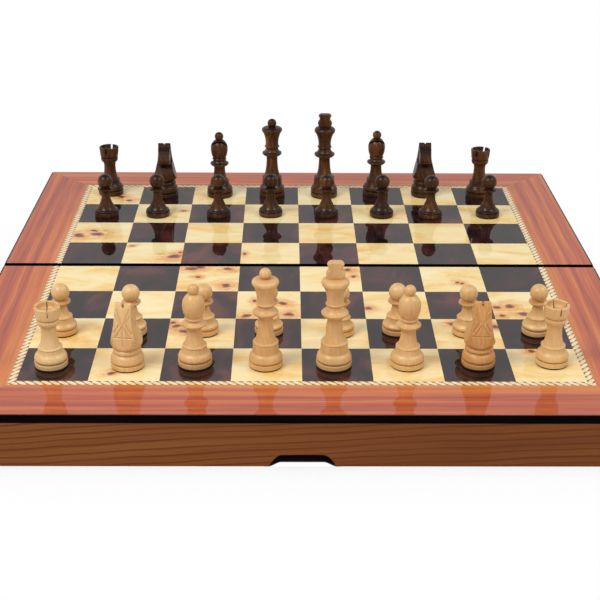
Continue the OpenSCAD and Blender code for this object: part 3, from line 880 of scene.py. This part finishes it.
def queen_outline():
    return (
        foot(11.8, 9.4, 10.8, 8.8, 18.5)
        + curve((7.5, 19.5), (5.2, 25.0), (5.0, 35.2), 16)
        + [(5.1, 37.9)]
        + curve((5.5, 38.6), (8.1, 39.2), (8.8, 40.8), 9)
        + arc(8.4, 41.5, 0.5, -30, 70, 6)
        + curve((8.3, 42.1), (6.5, 42.9), (5.8, 45.2), 9)
        + [(5.5, 45.8), (5.7, 46.4)]
        + bead(6.8, 47.6, 0.8)
        + [(6.0, 48.7)]
        + curve((5.9, 49.4), (5.6, 55.5), (8.0, 60.5), 14)
        + curve((8.4, 61.2), (9.4, 62.2), (9.3, 63.4), 8)
        + curve((9.2, 64.1), (8.4, 65.6), (4.8, 66.1), 8)
        + [(3.0, 66.3)]
        + arc(0, 69.3, 4.1, -44, 90, 20)
    )


def bishop_outline():
    return (
        foot(11.9, 9.6, 10.2, 8.4, 15.0)
        + curve((7.2, 16.0), (5.1, 20.0), (5.0, 27.4), 16)
        + [(5.2, 28.4)]
        + curve((5.6, 29.0), (7.8, 29.5), (8.4, 30.9), 9)
        + arc(8.0, 31.5, 0.5, -30, 70, 6)
        + curve((7.9, 32.1), (6.5, 32.5), (5.8, 34.2), 7)
        + [(5.6, 34.6), (5.7, 34.9)]
        + bead(6.5, 35.7, 0.7, 7)
        + [(5.8, 36.6)]
        + curve((5.9, 37.2), (7.1, 39.0), (7.7, 43.2), 10)
        + curve((7.8, 45.4), (7.8, 50.4), (3.8, 53.5), 14)
        + [(2.9, 53.9)]
        + arc(0, 56.8, 4.0, -43, 90, 18)
    )


def rook_outline():
    return (
        foot(11.5, 9.6, 10.0, 8.4, 14.4)
        + curve((7.3, 15.4), (5.3, 19.6), (5.2, 27.6), 16)
        + curve((5.3, 28.5), (5.4, 30.6), (6.2, 31.3), 6)
        + curve((6.8, 31.7), (7.9, 32.9), (7.8, 34.9), 9)
        + [(7.6, 35.6), (7.1, 35.9), (7.1, 36.3), (7.8, 36.6)]
        + curve((8.1, 37.2), (8.5, 41.5), (8.8, 44.6), 10)
        + arc(8.3, 44.8, 0.5, 0, 90, 6)
        + arc(7.4, 44.9, 0.4, 90, 180, 4)
        + curve((6.9, 44.0), (6.6, 41.2), (4.2, 40.6), 7)
        + [(0, 40.4)]
    )


def pawn_head():
    """Dished flange and ball."""
    return (
        [(4.1, 23.1)]
        + curve((5.6, 23.5), (6.9, 24.1), (6.9, 25.1), 8)
        + curve((6.7, 25.7), (5.4, 25.8), (4.2, 26.3), 6)
        + arc(0, 31.9, 6.5, -52, 90, 22)
    )


def light_pawn_outline():
    return (
        foot(10.4, 8.6, 8.8, 7.5, 13.2)
        + curve((6.2, 14.2), (4.0, 17.0), (3.7, 22.6), 16)
        + pawn_head()
    )


def dark_pawn_outline():
    """The dark pawns were turned to a slimmer pattern, with no shoulder on the foot."""
    return (
        foot_disc(10.6)
        + curve((10.0, 5.1), (10.5, 5.7), (9.2, 6.3), 7)
        + curve((8.4, 6.9), (7.0, 8.6), (6.3, 10.4), 8)
        + curve((5.8, 11.5), (4.1, 14.4), (3.8, 17.6), 10)
        + [(3.6, 20.0), (3.6, 22.4)]
        + pawn_head()
    )


def knight_base_outline():
    r = 11.7
    return (
        foot_disc(r, 4.8)
        + curve((r - 0.5, 4.9), (r + 0.2, 6.0), (r - 0.2, 7.2), 8)
        + curve((r - 0.3, 7.6), (r - 0.8, 9.9), (9.4, 10.9), 8)
        + [(9.1, 11.3), (9.1, 11.7)]
        + curve((9.4, 12.0), (10.3, 13.2), (9.4, 14.4), 8)
        + [(8.9, 14.8), (8.7, 15.4), (0, 15.4)]
    )


# ---- Geometry Nodes trees ----

class Recipe(Nodes):
    """A Geometry Nodes tree with named inputs, that any piece can be made by."""

    def __init__(self, name, inputs):
        self.tree = bpy.data.node_groups.new(name, "GeometryNodeTree")
        super().__init__(self.tree)
        face = self.tree.interface
        face.new_socket(name="Geometry", in_out="OUTPUT", socket_type="NodeSocketGeometry")
        self.identifiers = {}
        for title, (kind, value) in inputs.items():
            socket = face.new_socket(name=title, in_out="INPUT", socket_type="NodeSocket" + kind)
            if value is not None:
                socket.default_value = value
            self.identifiers[title] = socket.identifier
        self.given = self.nodes.new("NodeGroupInput").outputs
        self.end = self.nodes.new("NodeGroupOutput")

    def shape_of(self, title):
        """The shape of the object that is given under a title."""
        shape = self.plug(self.add("GeometryNodeObjectInfo"), Object=self.given[title])
        return shape.outputs["Geometry"]

    def real(self, geometry):
        return self.add("GeometryNodeRealizeInstances", geometry).outputs[0]

    def end_with(self, geometry):
        """Ends the tree: real geometry, in the finish that was given."""
        worn = self.add("GeometryNodeSetMaterial")
        self.plug(worn, Geometry=self.real(geometry), Material=self.given["Finish"])
        self.feed(self.end.inputs[0], worn.outputs[0])

    def make(self, name, values):
        """A new piece made by this tree, as a plain mesh."""
        piece = new_piece(name, bpy.data.meshes.new(name))
        modifier = piece.modifiers.new("recipe", "NODES")
        modifier.node_group = self.tree
        for title, value in values.items():
            modifier[self.identifiers[title]] = value
        return settle(piece)


def lathe_recipe():
    """Spins an outline round the upright axis, as a lathe does: a grid is wrapped round it."""
    lathe = Recipe("turned_on_the_lathe", {
        "Outline": ("Object", None),
        "Outline points": ("Int", 60),
        "Steps round": ("Int", 64),
        "Finish": ("Material", None),
    })
    steps = lathe.given["Steps round"]
    columns = lathe.plus(steps, 1)
    grid = lathe.add("GeometryNodeMeshGrid")
    lathe.plug(grid, Vertices_X=lathe.given["Outline points"], Vertices_Y=columns)
    index = lathe.add("GeometryNodeInputIndex").outputs[0]
    row = lathe.sum("FLOOR", lathe.sum("DIVIDE", index, columns))
    column = lathe.sum("MODULO", index, columns)
    angle = lathe.times(lathe.sum("DIVIDE", column, steps), 2 * pi)
    where = lathe.add("GeometryNodeInputPosition").outputs[0]
    sample = lathe.add("GeometryNodeSampleIndex", data_type="FLOAT_VECTOR")
    lathe.plug(sample, Geometry=lathe.shape_of("Outline"), Value=where, Index=row)
    swing = lathe.add("ShaderNodeVectorRotate", rotation_type="Z_AXIS")
    lathe.plug(swing, Vector=sample.outputs[0], Angle=angle)
    wrap = lathe.add("GeometryNodeSetPosition")
    lathe.plug(wrap, Geometry=grid.outputs["Mesh"], Position=swing.outputs[0])
    close = lathe.add("GeometryNodeMergeByDistance")
    lathe.plug(close, Geometry=wrap.outputs[0], Distance=LATHE_SEAM)
    lathe.end_with(close.outputs[0])
    return lathe


LATHE = lathe_recipe()


def turned(outline, finish, steps=64):
    """A turned solid in millimetres, made by the lathe tree from an outline."""
    points = [(r, 0, z) for r, z in outline]
    edges = [(i, i + 1) for i in range(len(points) - 1)]
    drawing = bpy.data.meshes.new("outline")
    drawing.from_pydata(points, edges, [])
    pencil = new_piece("outline", drawing)
    piece = LATHE.make("turned", {
        "Outline": pencil,
        "Outline points": len(points),
        "Steps round": steps,
        "Finish": finish,
    })
    bpy.data.objects.remove(pencil)
    turn_outwards(piece.data, LATHE_SEAM)
    return piece


def row_recipe():
    """Sets a fastener in a straight row at every hinge: count and pitch in a row, hinges by spacing."""
    setter = Recipe("fastener_rows", {
        "Fastener": ("Object", None),
        "Count": ("Int", 3),
        "Pitch": ("Float", 18.0),
        "Rows": ("Int", 2),
        "Row spacing": ("Float", 300.0),
        "Seed": ("Int", 4),
        "Finish": ("Material", None),
    })

    def centred_line(count, pitch):
        length = setter.times(setter.minus(setter.given[count], 1), setter.given[pitch])
        line = setter.plug(
            setter.add("GeometryNodeMeshLine"),
            Count=setter.given[count],
            Start_Location=setter.vector(setter.times(length, -0.5)),
            Offset=setter.vector(setter.given[pitch]),
        )
        return line.outputs["Mesh"]

    chance = setter.add("FunctionNodeRandomValue", data_type="FLOAT")
    setter.plug(chance, Seed=setter.given["Seed"])
    chance.inputs[2].default_value = 0.0
    chance.inputs[3].default_value = 2 * pi
    row = setter.plug(
        setter.add("GeometryNodeInstanceOnPoints"),
        Points=centred_line("Count", "Pitch"),
        Instance=setter.shape_of("Fastener"),
        Rotation=setter.vector(None, None, chance.outputs[1]),
    )
    rows = setter.plug(
        setter.add("GeometryNodeInstanceOnPoints"),
        Points=centred_line("Rows", "Row spacing"),
        Instance=setter.real(row.outputs[0]),
    )
    setter.end_with(rows.outputs[0])
    return setter


FASTENER_ROWS = row_recipe()


# ---- the men ----

FINIAL_DEPTH = 6.6


def king(finish):
    """The finial is turned, then planed flat in front and behind."""
    body = turned(king_outline(), finish)
    finial = turned(finial_outline(), finish, 96)
    for vertex in finial.data.vertices:
        vertex.co.y = max(-FINIAL_DEPTH / 2, min(FINIAL_DEPTH / 2, vertex.co.y))
    return joined(body, finial)


def queen(finish):
    return turned(queen_outline(), finish)


MITRE_SLOT_W = 1.7
MITRE_SLOT_AT = (0, -0.3, 46.8)
MITRE_SLOT_TILT = 46


def bishop(finish):
    """The mitre is sawn through on a slant."""
    body = turned(bishop_outline(), finish)
    slot = prism(oblong(0, 14, -MITRE_SLOT_W / 2, MITRE_SLOT_W / 2), -10, 10, "X")
    tilt = Matrix.Rotation(radians(MITRE_SLOT_TILT), 4, "X")
    slot.data.transform(Matrix.Translation(MITRE_SLOT_AT) @ tilt)
    cut(body, [slot])
    return body


CRENEL_W = {"light": 0.9, "dark": 2.2}
CRENEL_FLOOR = 39.8
CRENEL_TURNS = (28, 118)


def rook(finish, crenel_w):
    """The cup is sawn across twice, which leaves four battlements."""
    body = turned(rook_outline(), finish, 96)
    slots = []
    for angle in CRENEL_TURNS:
        slot = prism(oblong(-12, 12, -crenel_w / 2, crenel_w / 2), CRENEL_FLOOR, 48)
        slot.data.transform(Matrix.Rotation(radians(angle), 4, "Z"))
        slots.append(slot)
    cut(body, slots)
    return body


def horse_side():
    """The horse sawn from the side, muzzle towards +Y: distance forward and height."""
    return (
        [(9.4, 15.3), (9.7, 17.8)]
        + curve((9.4, 19.6), (7.6, 25.6), (4.2, 29.4), 6)
        + curve((3.2, 30.8), (3.0, 32.2), (4.2, 32.8), 4)
        + curve((5.4, 33.2), (6.4, 32.4), (7.6, 32.2), 3)
        + [(8.8, 32.6), (9.5, 33.8), (9.6, 35.4)]
        + curve((9.4, 37.0), (7.6, 40.4), (5.6, 42.6), 6)
        + curve((4.6, 43.8), (3.0, 45.2), (0.6, 45.9), 5)
        + [(-0.6, 46.4), (-1.8, 49.2), (-2.8, 49.7), (-4.2, 49.4)]
        + curve((-5.4, 46.8), (-8.8, 37.8), (-9.7, 17.8), 10)
        + [(-9.6, 15.3)]
    )


def horse_front():
    right = (
        [(10.9, 15.3), (10.9, 17.8)]
        + curve((10.6, 19.0), (8.0, 26.0), (6.7, 33.5), 6)
        + curve((6.3, 37.0), (5.8, 42.0), (5.6, 49.9), 4)
    )
    return right + [(-x, z) for x, z in reversed(right)]


# The carver's marks, in millimetres on the horse: places are forward and up
CARVING_GRAIN = 0.34
MANE_Z = (18.5, 46.5)
MANE_DEPTH = 0.55
LOCK_Z = (21.0, 46.0)
LOCK_PITCH = 4.4
LOCK_DEPTH = 0.42
JAW_AT = (0.4, 37.0)
JAW_R = 4.6
JAW_FRONT = 1.8
JAW_DEPTH = 0.38
EYE_AT = (2.6, 41.4)
EYE_R = 1.25
NOSTRIL_AT = (8.2, 36.6)
FEATURE_DEPTH = 0.5
MOUTH_Z = 34.2
MOUTH_DEPTH = 0.6

# Knife cuts on the flat of the mane, right half: from and to, as distance from the middle and height
MANE_CUTS = (
    ((0.0, 19.0), (0.0, 24.4)),
    ((0.0, 25.6), (0.0, 34.0)),
    ((0.0, 25.4), (6.2, 25.8)),
    ((0.3, 33.6), (4.6, 26.8)),
    ((2.4, 35.0), (6.2, 29.0)),
    ((0.8, 35.0), (4.2, 45.6)),
    ((2.2, 36.4), (5.0, 41.6)),
)


def groove(distance, width):
    """How deep a V-cut is at some distance from its middle, from 0 to 1."""
    return max(0.0, 1.0 - abs(distance) / width)


def mane_cut(x, z):
    """Depth of the knife cuts on the back of the neck."""
    depth = 0.0
    for (x0, z0), (x1, z1) in MANE_CUTS:
        run = (x1 - x0) ** 2 + (z1 - z0) ** 2
        share = ((abs(x) - x0) * (x1 - x0) + (z - z0) * (z1 - z0)) / run
        share = min(1.0, max(0.0, share))
        off = hypot(abs(x) - x0 - share * (x1 - x0), z - z0 - share * (z1 - z0))
        depth = max(depth, MANE_DEPTH * groove(off, 0.68))
    return depth


def cheek_cut(y, z):
    """Depth of the locks, jaw, eye and nostril on the side of the head."""
    low, high = LOCK_Z
    back = y + 6.2 + 0.10 * (z - 30)
    locks = ((z + 1.3 * y) / LOCK_PITCH) % 1.0 - 0.5
    fade = min(1.0, max(0.0, (0.8 - back) / 1.4), (z - low) / 1.5, (high - z) / 2.0)
    depth = LOCK_DEPTH * max(0.0, fade) * groove(locks * LOCK_PITCH, 0.6)
    jaw = abs(hypot(y - JAW_AT[0], z - JAW_AT[1]) - JAW_R)
    if y < JAW_FRONT:
        depth = max(depth, JAW_DEPTH * groove(jaw, 0.7))
    eye = hypot(y - EYE_AT[0], z - EYE_AT[1]) - EYE_R
    nostril = hypot(y - NOSTRIL_AT[0], z - NOSTRIL_AT[1])
    return max(depth, FEATURE_DEPTH * groove(eye, 0.5), FEATURE_DEPTH * groove(nostril, 0.9))


def carving_depth(point, facing):
    """How much the knife takes off the horse at a point, along the surface."""
    x, y, z = point
    depth = 0.0
    if facing.y < -0.45 and MANE_Z[0] < z < MANE_Z[1]:
        depth = mane_cut(x, z)
    if abs(facing.x) > 0.45 and LOCK_Z[0] < z < LOCK_Z[1]:
        depth = max(depth, cheek_cut(y, z))
    if y > 5.0 and MOUTH_Z - 1.6 < z < MOUTH_Z + 2.0:
        mouth = z - MOUTH_Z - 0.10 * (9.5 - y)
        depth = max(depth, MOUTH_DEPTH * groove(mouth, 0.6))
    return depth


def carved_horse(finish):
    """The horse: sawn from the side and the front, then cut with a knife."""
    horse = prism(horse_side(), -12, 12, "X")
    front = prism(horse_front(), -15, 15, "Y")
    round_limit = [(0, 15.3), (8.8, 15.3), (10.9, 17.9), (12.4, 28), (14, 50), (0, 50)]
    cut(horse, [front, turned(round_limit, finish)], "INTERSECT")
    cheeks = []
    for side in (-1, 1):
        cheek = prism(oblong(0, side * 6, -2, 14), 0, 20)
        turn = Matrix.Rotation(radians(side * 3), 4, "Z")
        cheek.data.transform(Matrix.Translation((side * 5.6, -0.5, 31.6)) @ turn)
        cheeks.append(cheek)
    ears = prism([(-1.3, 51.0), (-0.5, 46.4), (0.5, 46.4), (1.3, 51.0)], -9, -3.0, "Y")
    brow = prism([(-0.9, 51.0), (-0.3, 48.6), (0.3, 48.6), (0.9, 51.0)], -9, 3, "Y")
    cut(horse, cheeks + [ears, brow])
    grain = horse.modifiers.new("grain", "REMESH")
    grain.mode = "VOXEL"
    grain.voxel_size = CARVING_GRAIN
    soften = horse.modifiers.new("soften", "SMOOTH")
    soften.factor = 0.5
    soften.iterations = 3
    settle(horse)
    vertices = horse.data.vertices
    moves = [vertex.normal * carving_depth(vertex.co, vertex.normal) for vertex in vertices]
    for vertex, move in zip(vertices, moves):
        vertex.co -= move
    return settle(horse)


def knight(finish):
    base = turned(knight_base_outline(), finish, 72)
    return joined(base, carved_horse(finish))


# Name, how warm the wood is, turn in degrees, and how far it stands off the middle of its square
# in millimetres: to the right and away from the fold
MEN = {
    "light": (
        ("rook_a", 0.0, -18, (-3.9, 1.0)),
        ("knight_b", 0.35, -9, (0.6, 2.0)),
        ("bishop_c", 0.45, 0, (-1.5, -1.2)),
        ("queen_d", 0.55, 0, (-0.9, 0.6)),
        ("king_e", 0.45, 0, (-2.0, 0.1)),
        ("bishop_f", 0.45, 0, (0.4, -0.2)),
        ("knight_g", 1.0, 0, (1.6, -1.4)),
        ("rook_h", 0.25, -18, (4.8, -3.4)),
        ("pawn_a", 0.40, 0, (-3.6, -1.6)),
        ("pawn_b", 0.10, 0, (-1.4, -0.4)),
        ("pawn_c", 0.45, 0, (2.2, -1.9)),
        ("pawn_d", 0.40, 0, (0.7, -2.0)),
        ("pawn_e", 0.40, 0, (4.0, -0.9)),
        ("pawn_f", 0.40, 0, (-3.2, -3.4)),
        ("pawn_g", 0.30, 0, (-0.7, -1.3)),
        ("pawn_h", 0.30, 0, (1.8, -2.4)),
    ),
    "dark": (
        ("rook_a", 0.5, -41, (-4.8, 6.4)),
        ("knight_b", 0.6, 0, (-1.9, 0.6)),
        ("bishop_c", 0.6, 0, (0.1, 1.9)),
        ("queen_d", 0.8, 0, (0.1, 2.4)),
        ("king_e", 0.9, 0, (0.0, 2.3)),
        ("bishop_f", 0.7, 0, (-0.2, 8.0)),
        ("knight_g", 0.4, 0, (-3.9, 5.0)),
        ("rook_h", 0.7, 29, (-1.5, 2.8)),
        ("pawn_a", 0.6, 0, (-1.5, -4.9)),
        ("pawn_b", 0.2, 0, (-4.4, -4.2)),
        ("pawn_c", 0.6, 0, (1.4, -4.8)),
        ("pawn_d", 0.5, 0, (-0.6, -2.4)),
        ("pawn_e", 0.5, 0, (0.7, -4.2)),
        ("pawn_f", 0.5, 0, (1.6, -3.9)),
        ("pawn_g", 0.6, 0, (-3.3, -5.4)),
        ("pawn_h", 0.4, 0, (-0.2, -3.4)),
    ),
}


def dress_man(piece, side, name, tone, turn, shift, finishes):
    """Puts a finished man on its square, with felt under its foot, and lets it ride on its own body."""
    full_name = side + "_" + name
    file = "abcdefgh".index(name[-1])
    rank = 2 if name.startswith("pawn") else 3
    piece.name = full_name + "_piece"
    mesh = piece.data
    mesh.name = piece.name
    mesh.materials.clear()
    for finish in finishes:
        mesh.materials.append(finish)
    for face in mesh.polygons:
        face.material_index = int(face.center.z < BASE_FELT_T + 0.01)
    mesh.transform(man_place(side, file, rank, turn, shift))
    tidy_mesh(mesh)
    own = mesh.attributes.new("tone", "FLOAT", "POINT")
    own.data.foreach_set("value", [tone] * len(mesh.vertices))
    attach(piece, full_name)
    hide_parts(full_name)


PAWN_OUTLINES = {"light": light_pawn_outline, "dark": dark_pawn_outline}
# Near-black felt under the foot; its dark colour is partly the felt and partly painted shade for the
# contact shadow
BASE_FELT_AND_SHADE_COLOUR = (0.010, 0.016, 0.012)


def make_men():
    base_felt = felt("base_felt", BASE_FELT_AND_SHADE_COLOUR)
    wood = {"light": boxwood(), "dark": stained_wood()}
    kinds = {"king": king, "queen": queen, "bishop": bishop, "knight": knight}
    for side, men in MEN.items():
        for name, tone, turn, shift in men:
            kind = name.split("_")[0]
            if kind == "rook":
                piece = rook(wood[side], CRENEL_W[side])
            elif kind == "pawn":
                piece = turned(PAWN_OUTLINES[side](), wood[side])
            else:
                piece = kinds[kind](wood[side])
            dress_man(piece, side, name, tone, turn, shift, (wood[side], base_felt))


# ---- the box ----

def wear(node, finish):
    """Gives a carried-over solid its finish."""
    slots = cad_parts[node].data.materials
    slots.clear()
    slots.append(finish)


def make_board():
    black = black_lacquer()
    walnut = walnut_rails()
    border = border_veneer()
    banding = rope_banding()
    dark = dark_squares()
    for half in HALVES:
        wear(half + "_light_squares", pale_squares(half))
        wear(half + "_dark_squares", dark)
        wear(half + "_banding", banding)
        wear(half + "_border", border)
        wear(half + "_panel", black)
        for rail in ("_outer_rail", "_left_rail", "_right_rail", "_fold_rail"):
            wear(half + rail, walnut)


def screw(finish):
    """Countersunk slotted screw, head down, in millimetres."""
    outline = (
        [(0, 0.02), (SCREW_HEAD_R - 0.15, 0.02), (SCREW_HEAD_R - 0.03, 0.12)]
        + [(SCREW_R, SCREW_HEAD_R - SCREW_R), (SCREW_R, SCREW_L - 2), (0, SCREW_L)]
    )
    body = turned(outline, finish, 32)
    cut(body, [prism(oblong(-3, 3, -0.3, 0.3), -0.5, 0.5)])
    return body


BRASS = (0.78, 0.52, 0.19)
BRASS_WORN = (0.56, 0.34, 0.11)
STEEL = (0.62, 0.62, 0.64)
STEEL_WORN = (0.44, 0.44, 0.46)
SCREW_PITCH = HINGE_L / 2 - 7
# The middle of a leaf's flat, from the hinge's axis
SCREW_ROW_Y = (LEAF_W + BARREL_R + BARREL_CLEAR) / 2 + 0.1


def make_hinges():
    brass = metal("hinge_brass", BRASS, BRASS_WORN, roughness=0.24, brush=90.0)
    for half in HALVES:
        wear(half + "_hinge_leaves", brass)
        name = half + "_hinge_screws"
        one = screw(brass)
        piece = FASTENER_ROWS.make(name + "_piece", {
            "Fastener": one,
            "Count": 3,
            "Pitch": float(SCREW_PITCH),
            "Rows": 2,
            "Row spacing": 2 * HINGE_X,
            "Seed": 4,
            "Finish": brass,
        })
        bpy.data.objects.remove(one)
        piece.data.transform(half_place(half) @ Matrix.Translation((0, SCREW_ROW_Y, 0)))
        tidy_mesh(piece.data)
        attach(piece, half + "_half")
        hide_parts(name)
    wear("hinge_pins", brass)


def make_magnets():
    steel = metal("magnet_steel", STEEL, STEEL_WORN, roughness=0.22, brush=ACROSS_BRUSH)
    for half in HALVES:
        wear(half + "_magnets", steel)


LINING_COLOUR = (0.020, 0.060, 0.030)
LINING_GRID = 4.0
LINING_CLEAR = 0.3
LINING_WAVE = 0.05
# The lining's face lies this far over the solid felt's, and its back this far under the panel
LINING_LIFT = 0.12
LINING_BACK = 0.02
FOLD_SETBACK = 0.2


def lining(half, finish):
    """Felt glued under the panel: one cut rectangle with a soft, slightly uneven face."""
    low_x = HALF_W - RAIL_SETBACK - RAIL_T - LINING_CLEAR
    low_y = FOLD_SETBACK + RAIL_T + LINING_CLEAR
    high_y = HALF_D - RAIL_SETBACK - RAIL_T - LINING_CLEAR
    width, length = 2 * low_x, high_y - low_y
    across = int(width / LINING_GRID)
    down = int(length / LINING_GRID)
    work = bmesh.new()
    bmesh.ops.create_grid(work, x_segments=across, y_segments=down, size=0.5)
    for vertex in work.verts:
        x, y, _ = vertex.co
        wave = sin(x * 71) * cos(y * 53) + sin(x * 29 + y * 37)
        vertex.co.z = RAIL_H - FELT_T + LINING_LIFT + LINING_WAVE * wave
        vertex.co.x = x * width
        vertex.co.y = (low_y + high_y) / 2 + y * length
    made = bmesh.ops.extrude_face_region(work, geom=work.faces[:])
    for item in made["geom"]:
        if isinstance(item, bmesh.types.BMVert):
            item.co.z = RAIL_H - LINING_BACK
    mesh = bpy.data.meshes.new(half + "_felt_piece")
    work.to_mesh(mesh)
    work.free()
    mesh.materials.append(finish)
    mesh.transform(half_place(half))
    tidy_mesh(mesh)
    piece = new_piece(half + "_felt_piece", mesh)
    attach(piece, half + "_half")
    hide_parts(half + "_felt")


# ---- table, light and surroundings ----

TABLE_HALF = 3.0
TABLE_COLOUR = (0.80, 0.80, 0.80, 1)
SHADOW_COLOUR = (0.05, 0.047, 0.045, 1)
SHADOW_REACH = 0.30
# How much of the shadow shows, from a fully covered table to an open one
SHADOW_STOPS = ((0.0, 1.0), (0.24, 0.95), (0.38, 0.26), (0.52, 0.05), (0.92, 0.0))
# The finger notch, in millimetres: how far light reaches in under the rail, and how wide
NOTCH_LIT = 5.6
NOTCH_LIT_FULL = 14
NOTCH_LIT_TO = 23
NOTCH_HALF = 25
NOTCH_DEEP = 30
NOTCH_BLUR = 0.7


def notch_shadow(finish, shadow):
    """The table's shadow, but under the finger notch lit in front and black behind."""
    x, y, _ = finish.place()
    wide = finish.unsigned(x)
    behind = finish.plus(y, HALF_D * MM)
    reach = finish.step(wide, NOTCH_LIT_TO * MM, NOTCH_LIT_FULL * MM, 0.0, NOTCH_LIT * MM)
    at_notch = finish.sum("LESS_THAN", wide, NOTCH_HALF * MM)
    at_rail = finish.times(at_notch, finish.sum("LESS_THAN", behind, NOTCH_DEEP * MM))
    under_rail = finish.times(at_rail, finish.sum("GREATER_THAN", behind, 0.0))
    unlit = finish.step(finish.minus(behind, reach), -NOTCH_BLUR * MM, NOTCH_BLUR * MM)
    return finish.choose_number(under_rail, shadow, unlit)


def set_table():
    """Pale table top: open, it shows as the white surroundings, with the box's soft shadow on it."""
    corners = [(x, y, 0) for x, y in oblong(-TABLE_HALF, TABLE_HALF, -TABLE_HALF, TABLE_HALF)]
    mesh = mesh_from(corners, [(0, 1, 2, 3)], "table_top")
    table = new_piece("table_top", mesh)
    finish = Finish("table_top", TABLE_COLOUR[:3])
    pale = finish.add("ShaderNodeBsdfDiffuse", TABLE_COLOUR)
    shaded = finish.add("ShaderNodeBsdfDiffuse", SHADOW_COLOUR)
    clear = finish.add("ShaderNodeBsdfTransparent")
    ray = finish.add("ShaderNodeLightPath")
    under = finish.add("ShaderNodeNewGeometry").outputs["Backfacing"]
    covered = finish.plug(finish.add("ShaderNodeAmbientOcclusion", samples=12), Distance=SHADOW_REACH)
    stops = [(place, (share, share, share)) for place, share in SHADOW_STOPS]
    shadow = notch_shadow(finish, finish.ramp(covered.outputs["AO"], *stops))
    shown = finish.times(shadow, finish.minus(1.0, under))
    opened = finish.add("ShaderNodeMixShader", shown, clear.outputs[0], shaded.outputs[0])
    seen = ray.outputs["Is Camera Ray"]
    whole = finish.add("ShaderNodeMixShader", seen, pale.outputs[0], opened.outputs[0])
    finish.feed(finish.nodes["Material Output"].inputs["Surface"], whole.outputs[0])
    mesh.materials.append(finish.material)


WORLD_LIGHT = 0.50
WHITE = (1, 1, 1, 1)
OVERHEAD_GREY = (0.16, 0.17, 0.20)
FRONT_LIGHT = 0.25
DIM_SPOT = 0.15


def set_world():
    """White surroundings for the camera, plain light, and a room for the gloss to mirror.

    The room is white at the back and greyer in front, overhead and at one spot in front.
    """
    world = bpy.data.worlds.new("studio")
    bpy.context.scene.world = world
    world.use_nodes = True
    world.node_tree.nodes.clear()
    room = Nodes(world.node_tree)
    ray = room.add("ShaderNodeLightPath").outputs
    direction = room.add("ShaderNodeTexCoord").outputs["Generated"]
    split = room.add("ShaderNodeSeparateXYZ", direction)
    overhead = room.step(split.outputs["Z"], 0.62, 0.86)
    skyline = room.spread(split.outputs["Z"], 0.26, 0.50, 0.66, 1.0)
    back = room.step(split.outputs["Y"], -0.15, 0.35, FRONT_LIGHT, 1.0)
    spot = Vector(CAMERA_AT).normalized()
    toward = room.add("ShaderNodeVectorMath", direction, spot, operation="DOT_PRODUCT")
    dimmed = room.step(toward.outputs["Value"], 0.93, 0.97, 1.0, DIM_SPOT)
    walls = room.choose(overhead, skyline, OVERHEAD_GREY)
    mirrored = room.add("ShaderNodeBackground", walls, room.times(back, dimmed))
    plain = room.add("ShaderNodeBackground", WHITE, WORLD_LIGHT)
    white = room.add("ShaderNodeBackground", WHITE)
    shiny = room.sum("MAXIMUM", ray["Is Glossy Ray"], ray["Is Transmission Ray"])
    lit = room.add("ShaderNodeMixShader", shiny, plain.outputs[0], mirrored.outputs[0])
    whole = room.add("ShaderNodeMixShader", ray["Is Camera Ray"], lit.outputs[0], white.outputs[0])
    room.add("ShaderNodeOutputWorld", whole.outputs[0])


# Name, place, size in metres, watts
LAMPS = (
    ("left_softbox", (-1.0, -0.8, 1.7), 1.0, 21.0),
    ("right_softbox", (1.2, -0.5, 1.6), 1.0, 10.0),
)
LAMP_TARGET = (0, 0, 0.05)


def set_lamps():
    target = Vector(LAMP_TARGET)
    for name, place, size, watts in LAMPS:
        data = bpy.data.lights.new(name, "AREA")
        data.shape = "DISK"
        data.size = size
        data.energy = watts
        lamp = bpy.data.objects.new(name, data)
        lamp.location = place
        lamp.rotation_euler = (target - Vector(place)).to_track_quat("-Z", "Y").to_euler()
        lamp.visible_camera = False
        bpy.context.scene.collection.objects.link(lamp)


def main():
    set_camera()
    make_board()
    make_hinges()
    make_magnets()
    baize = felt("green_felt", LINING_COLOUR)
    for half in HALVES:
        lining(half, baize)
    make_men()
    set_table()
    set_world()
    set_lamps()
    bpy.context.scene.view_settings.view_transform = "Standard"


main()
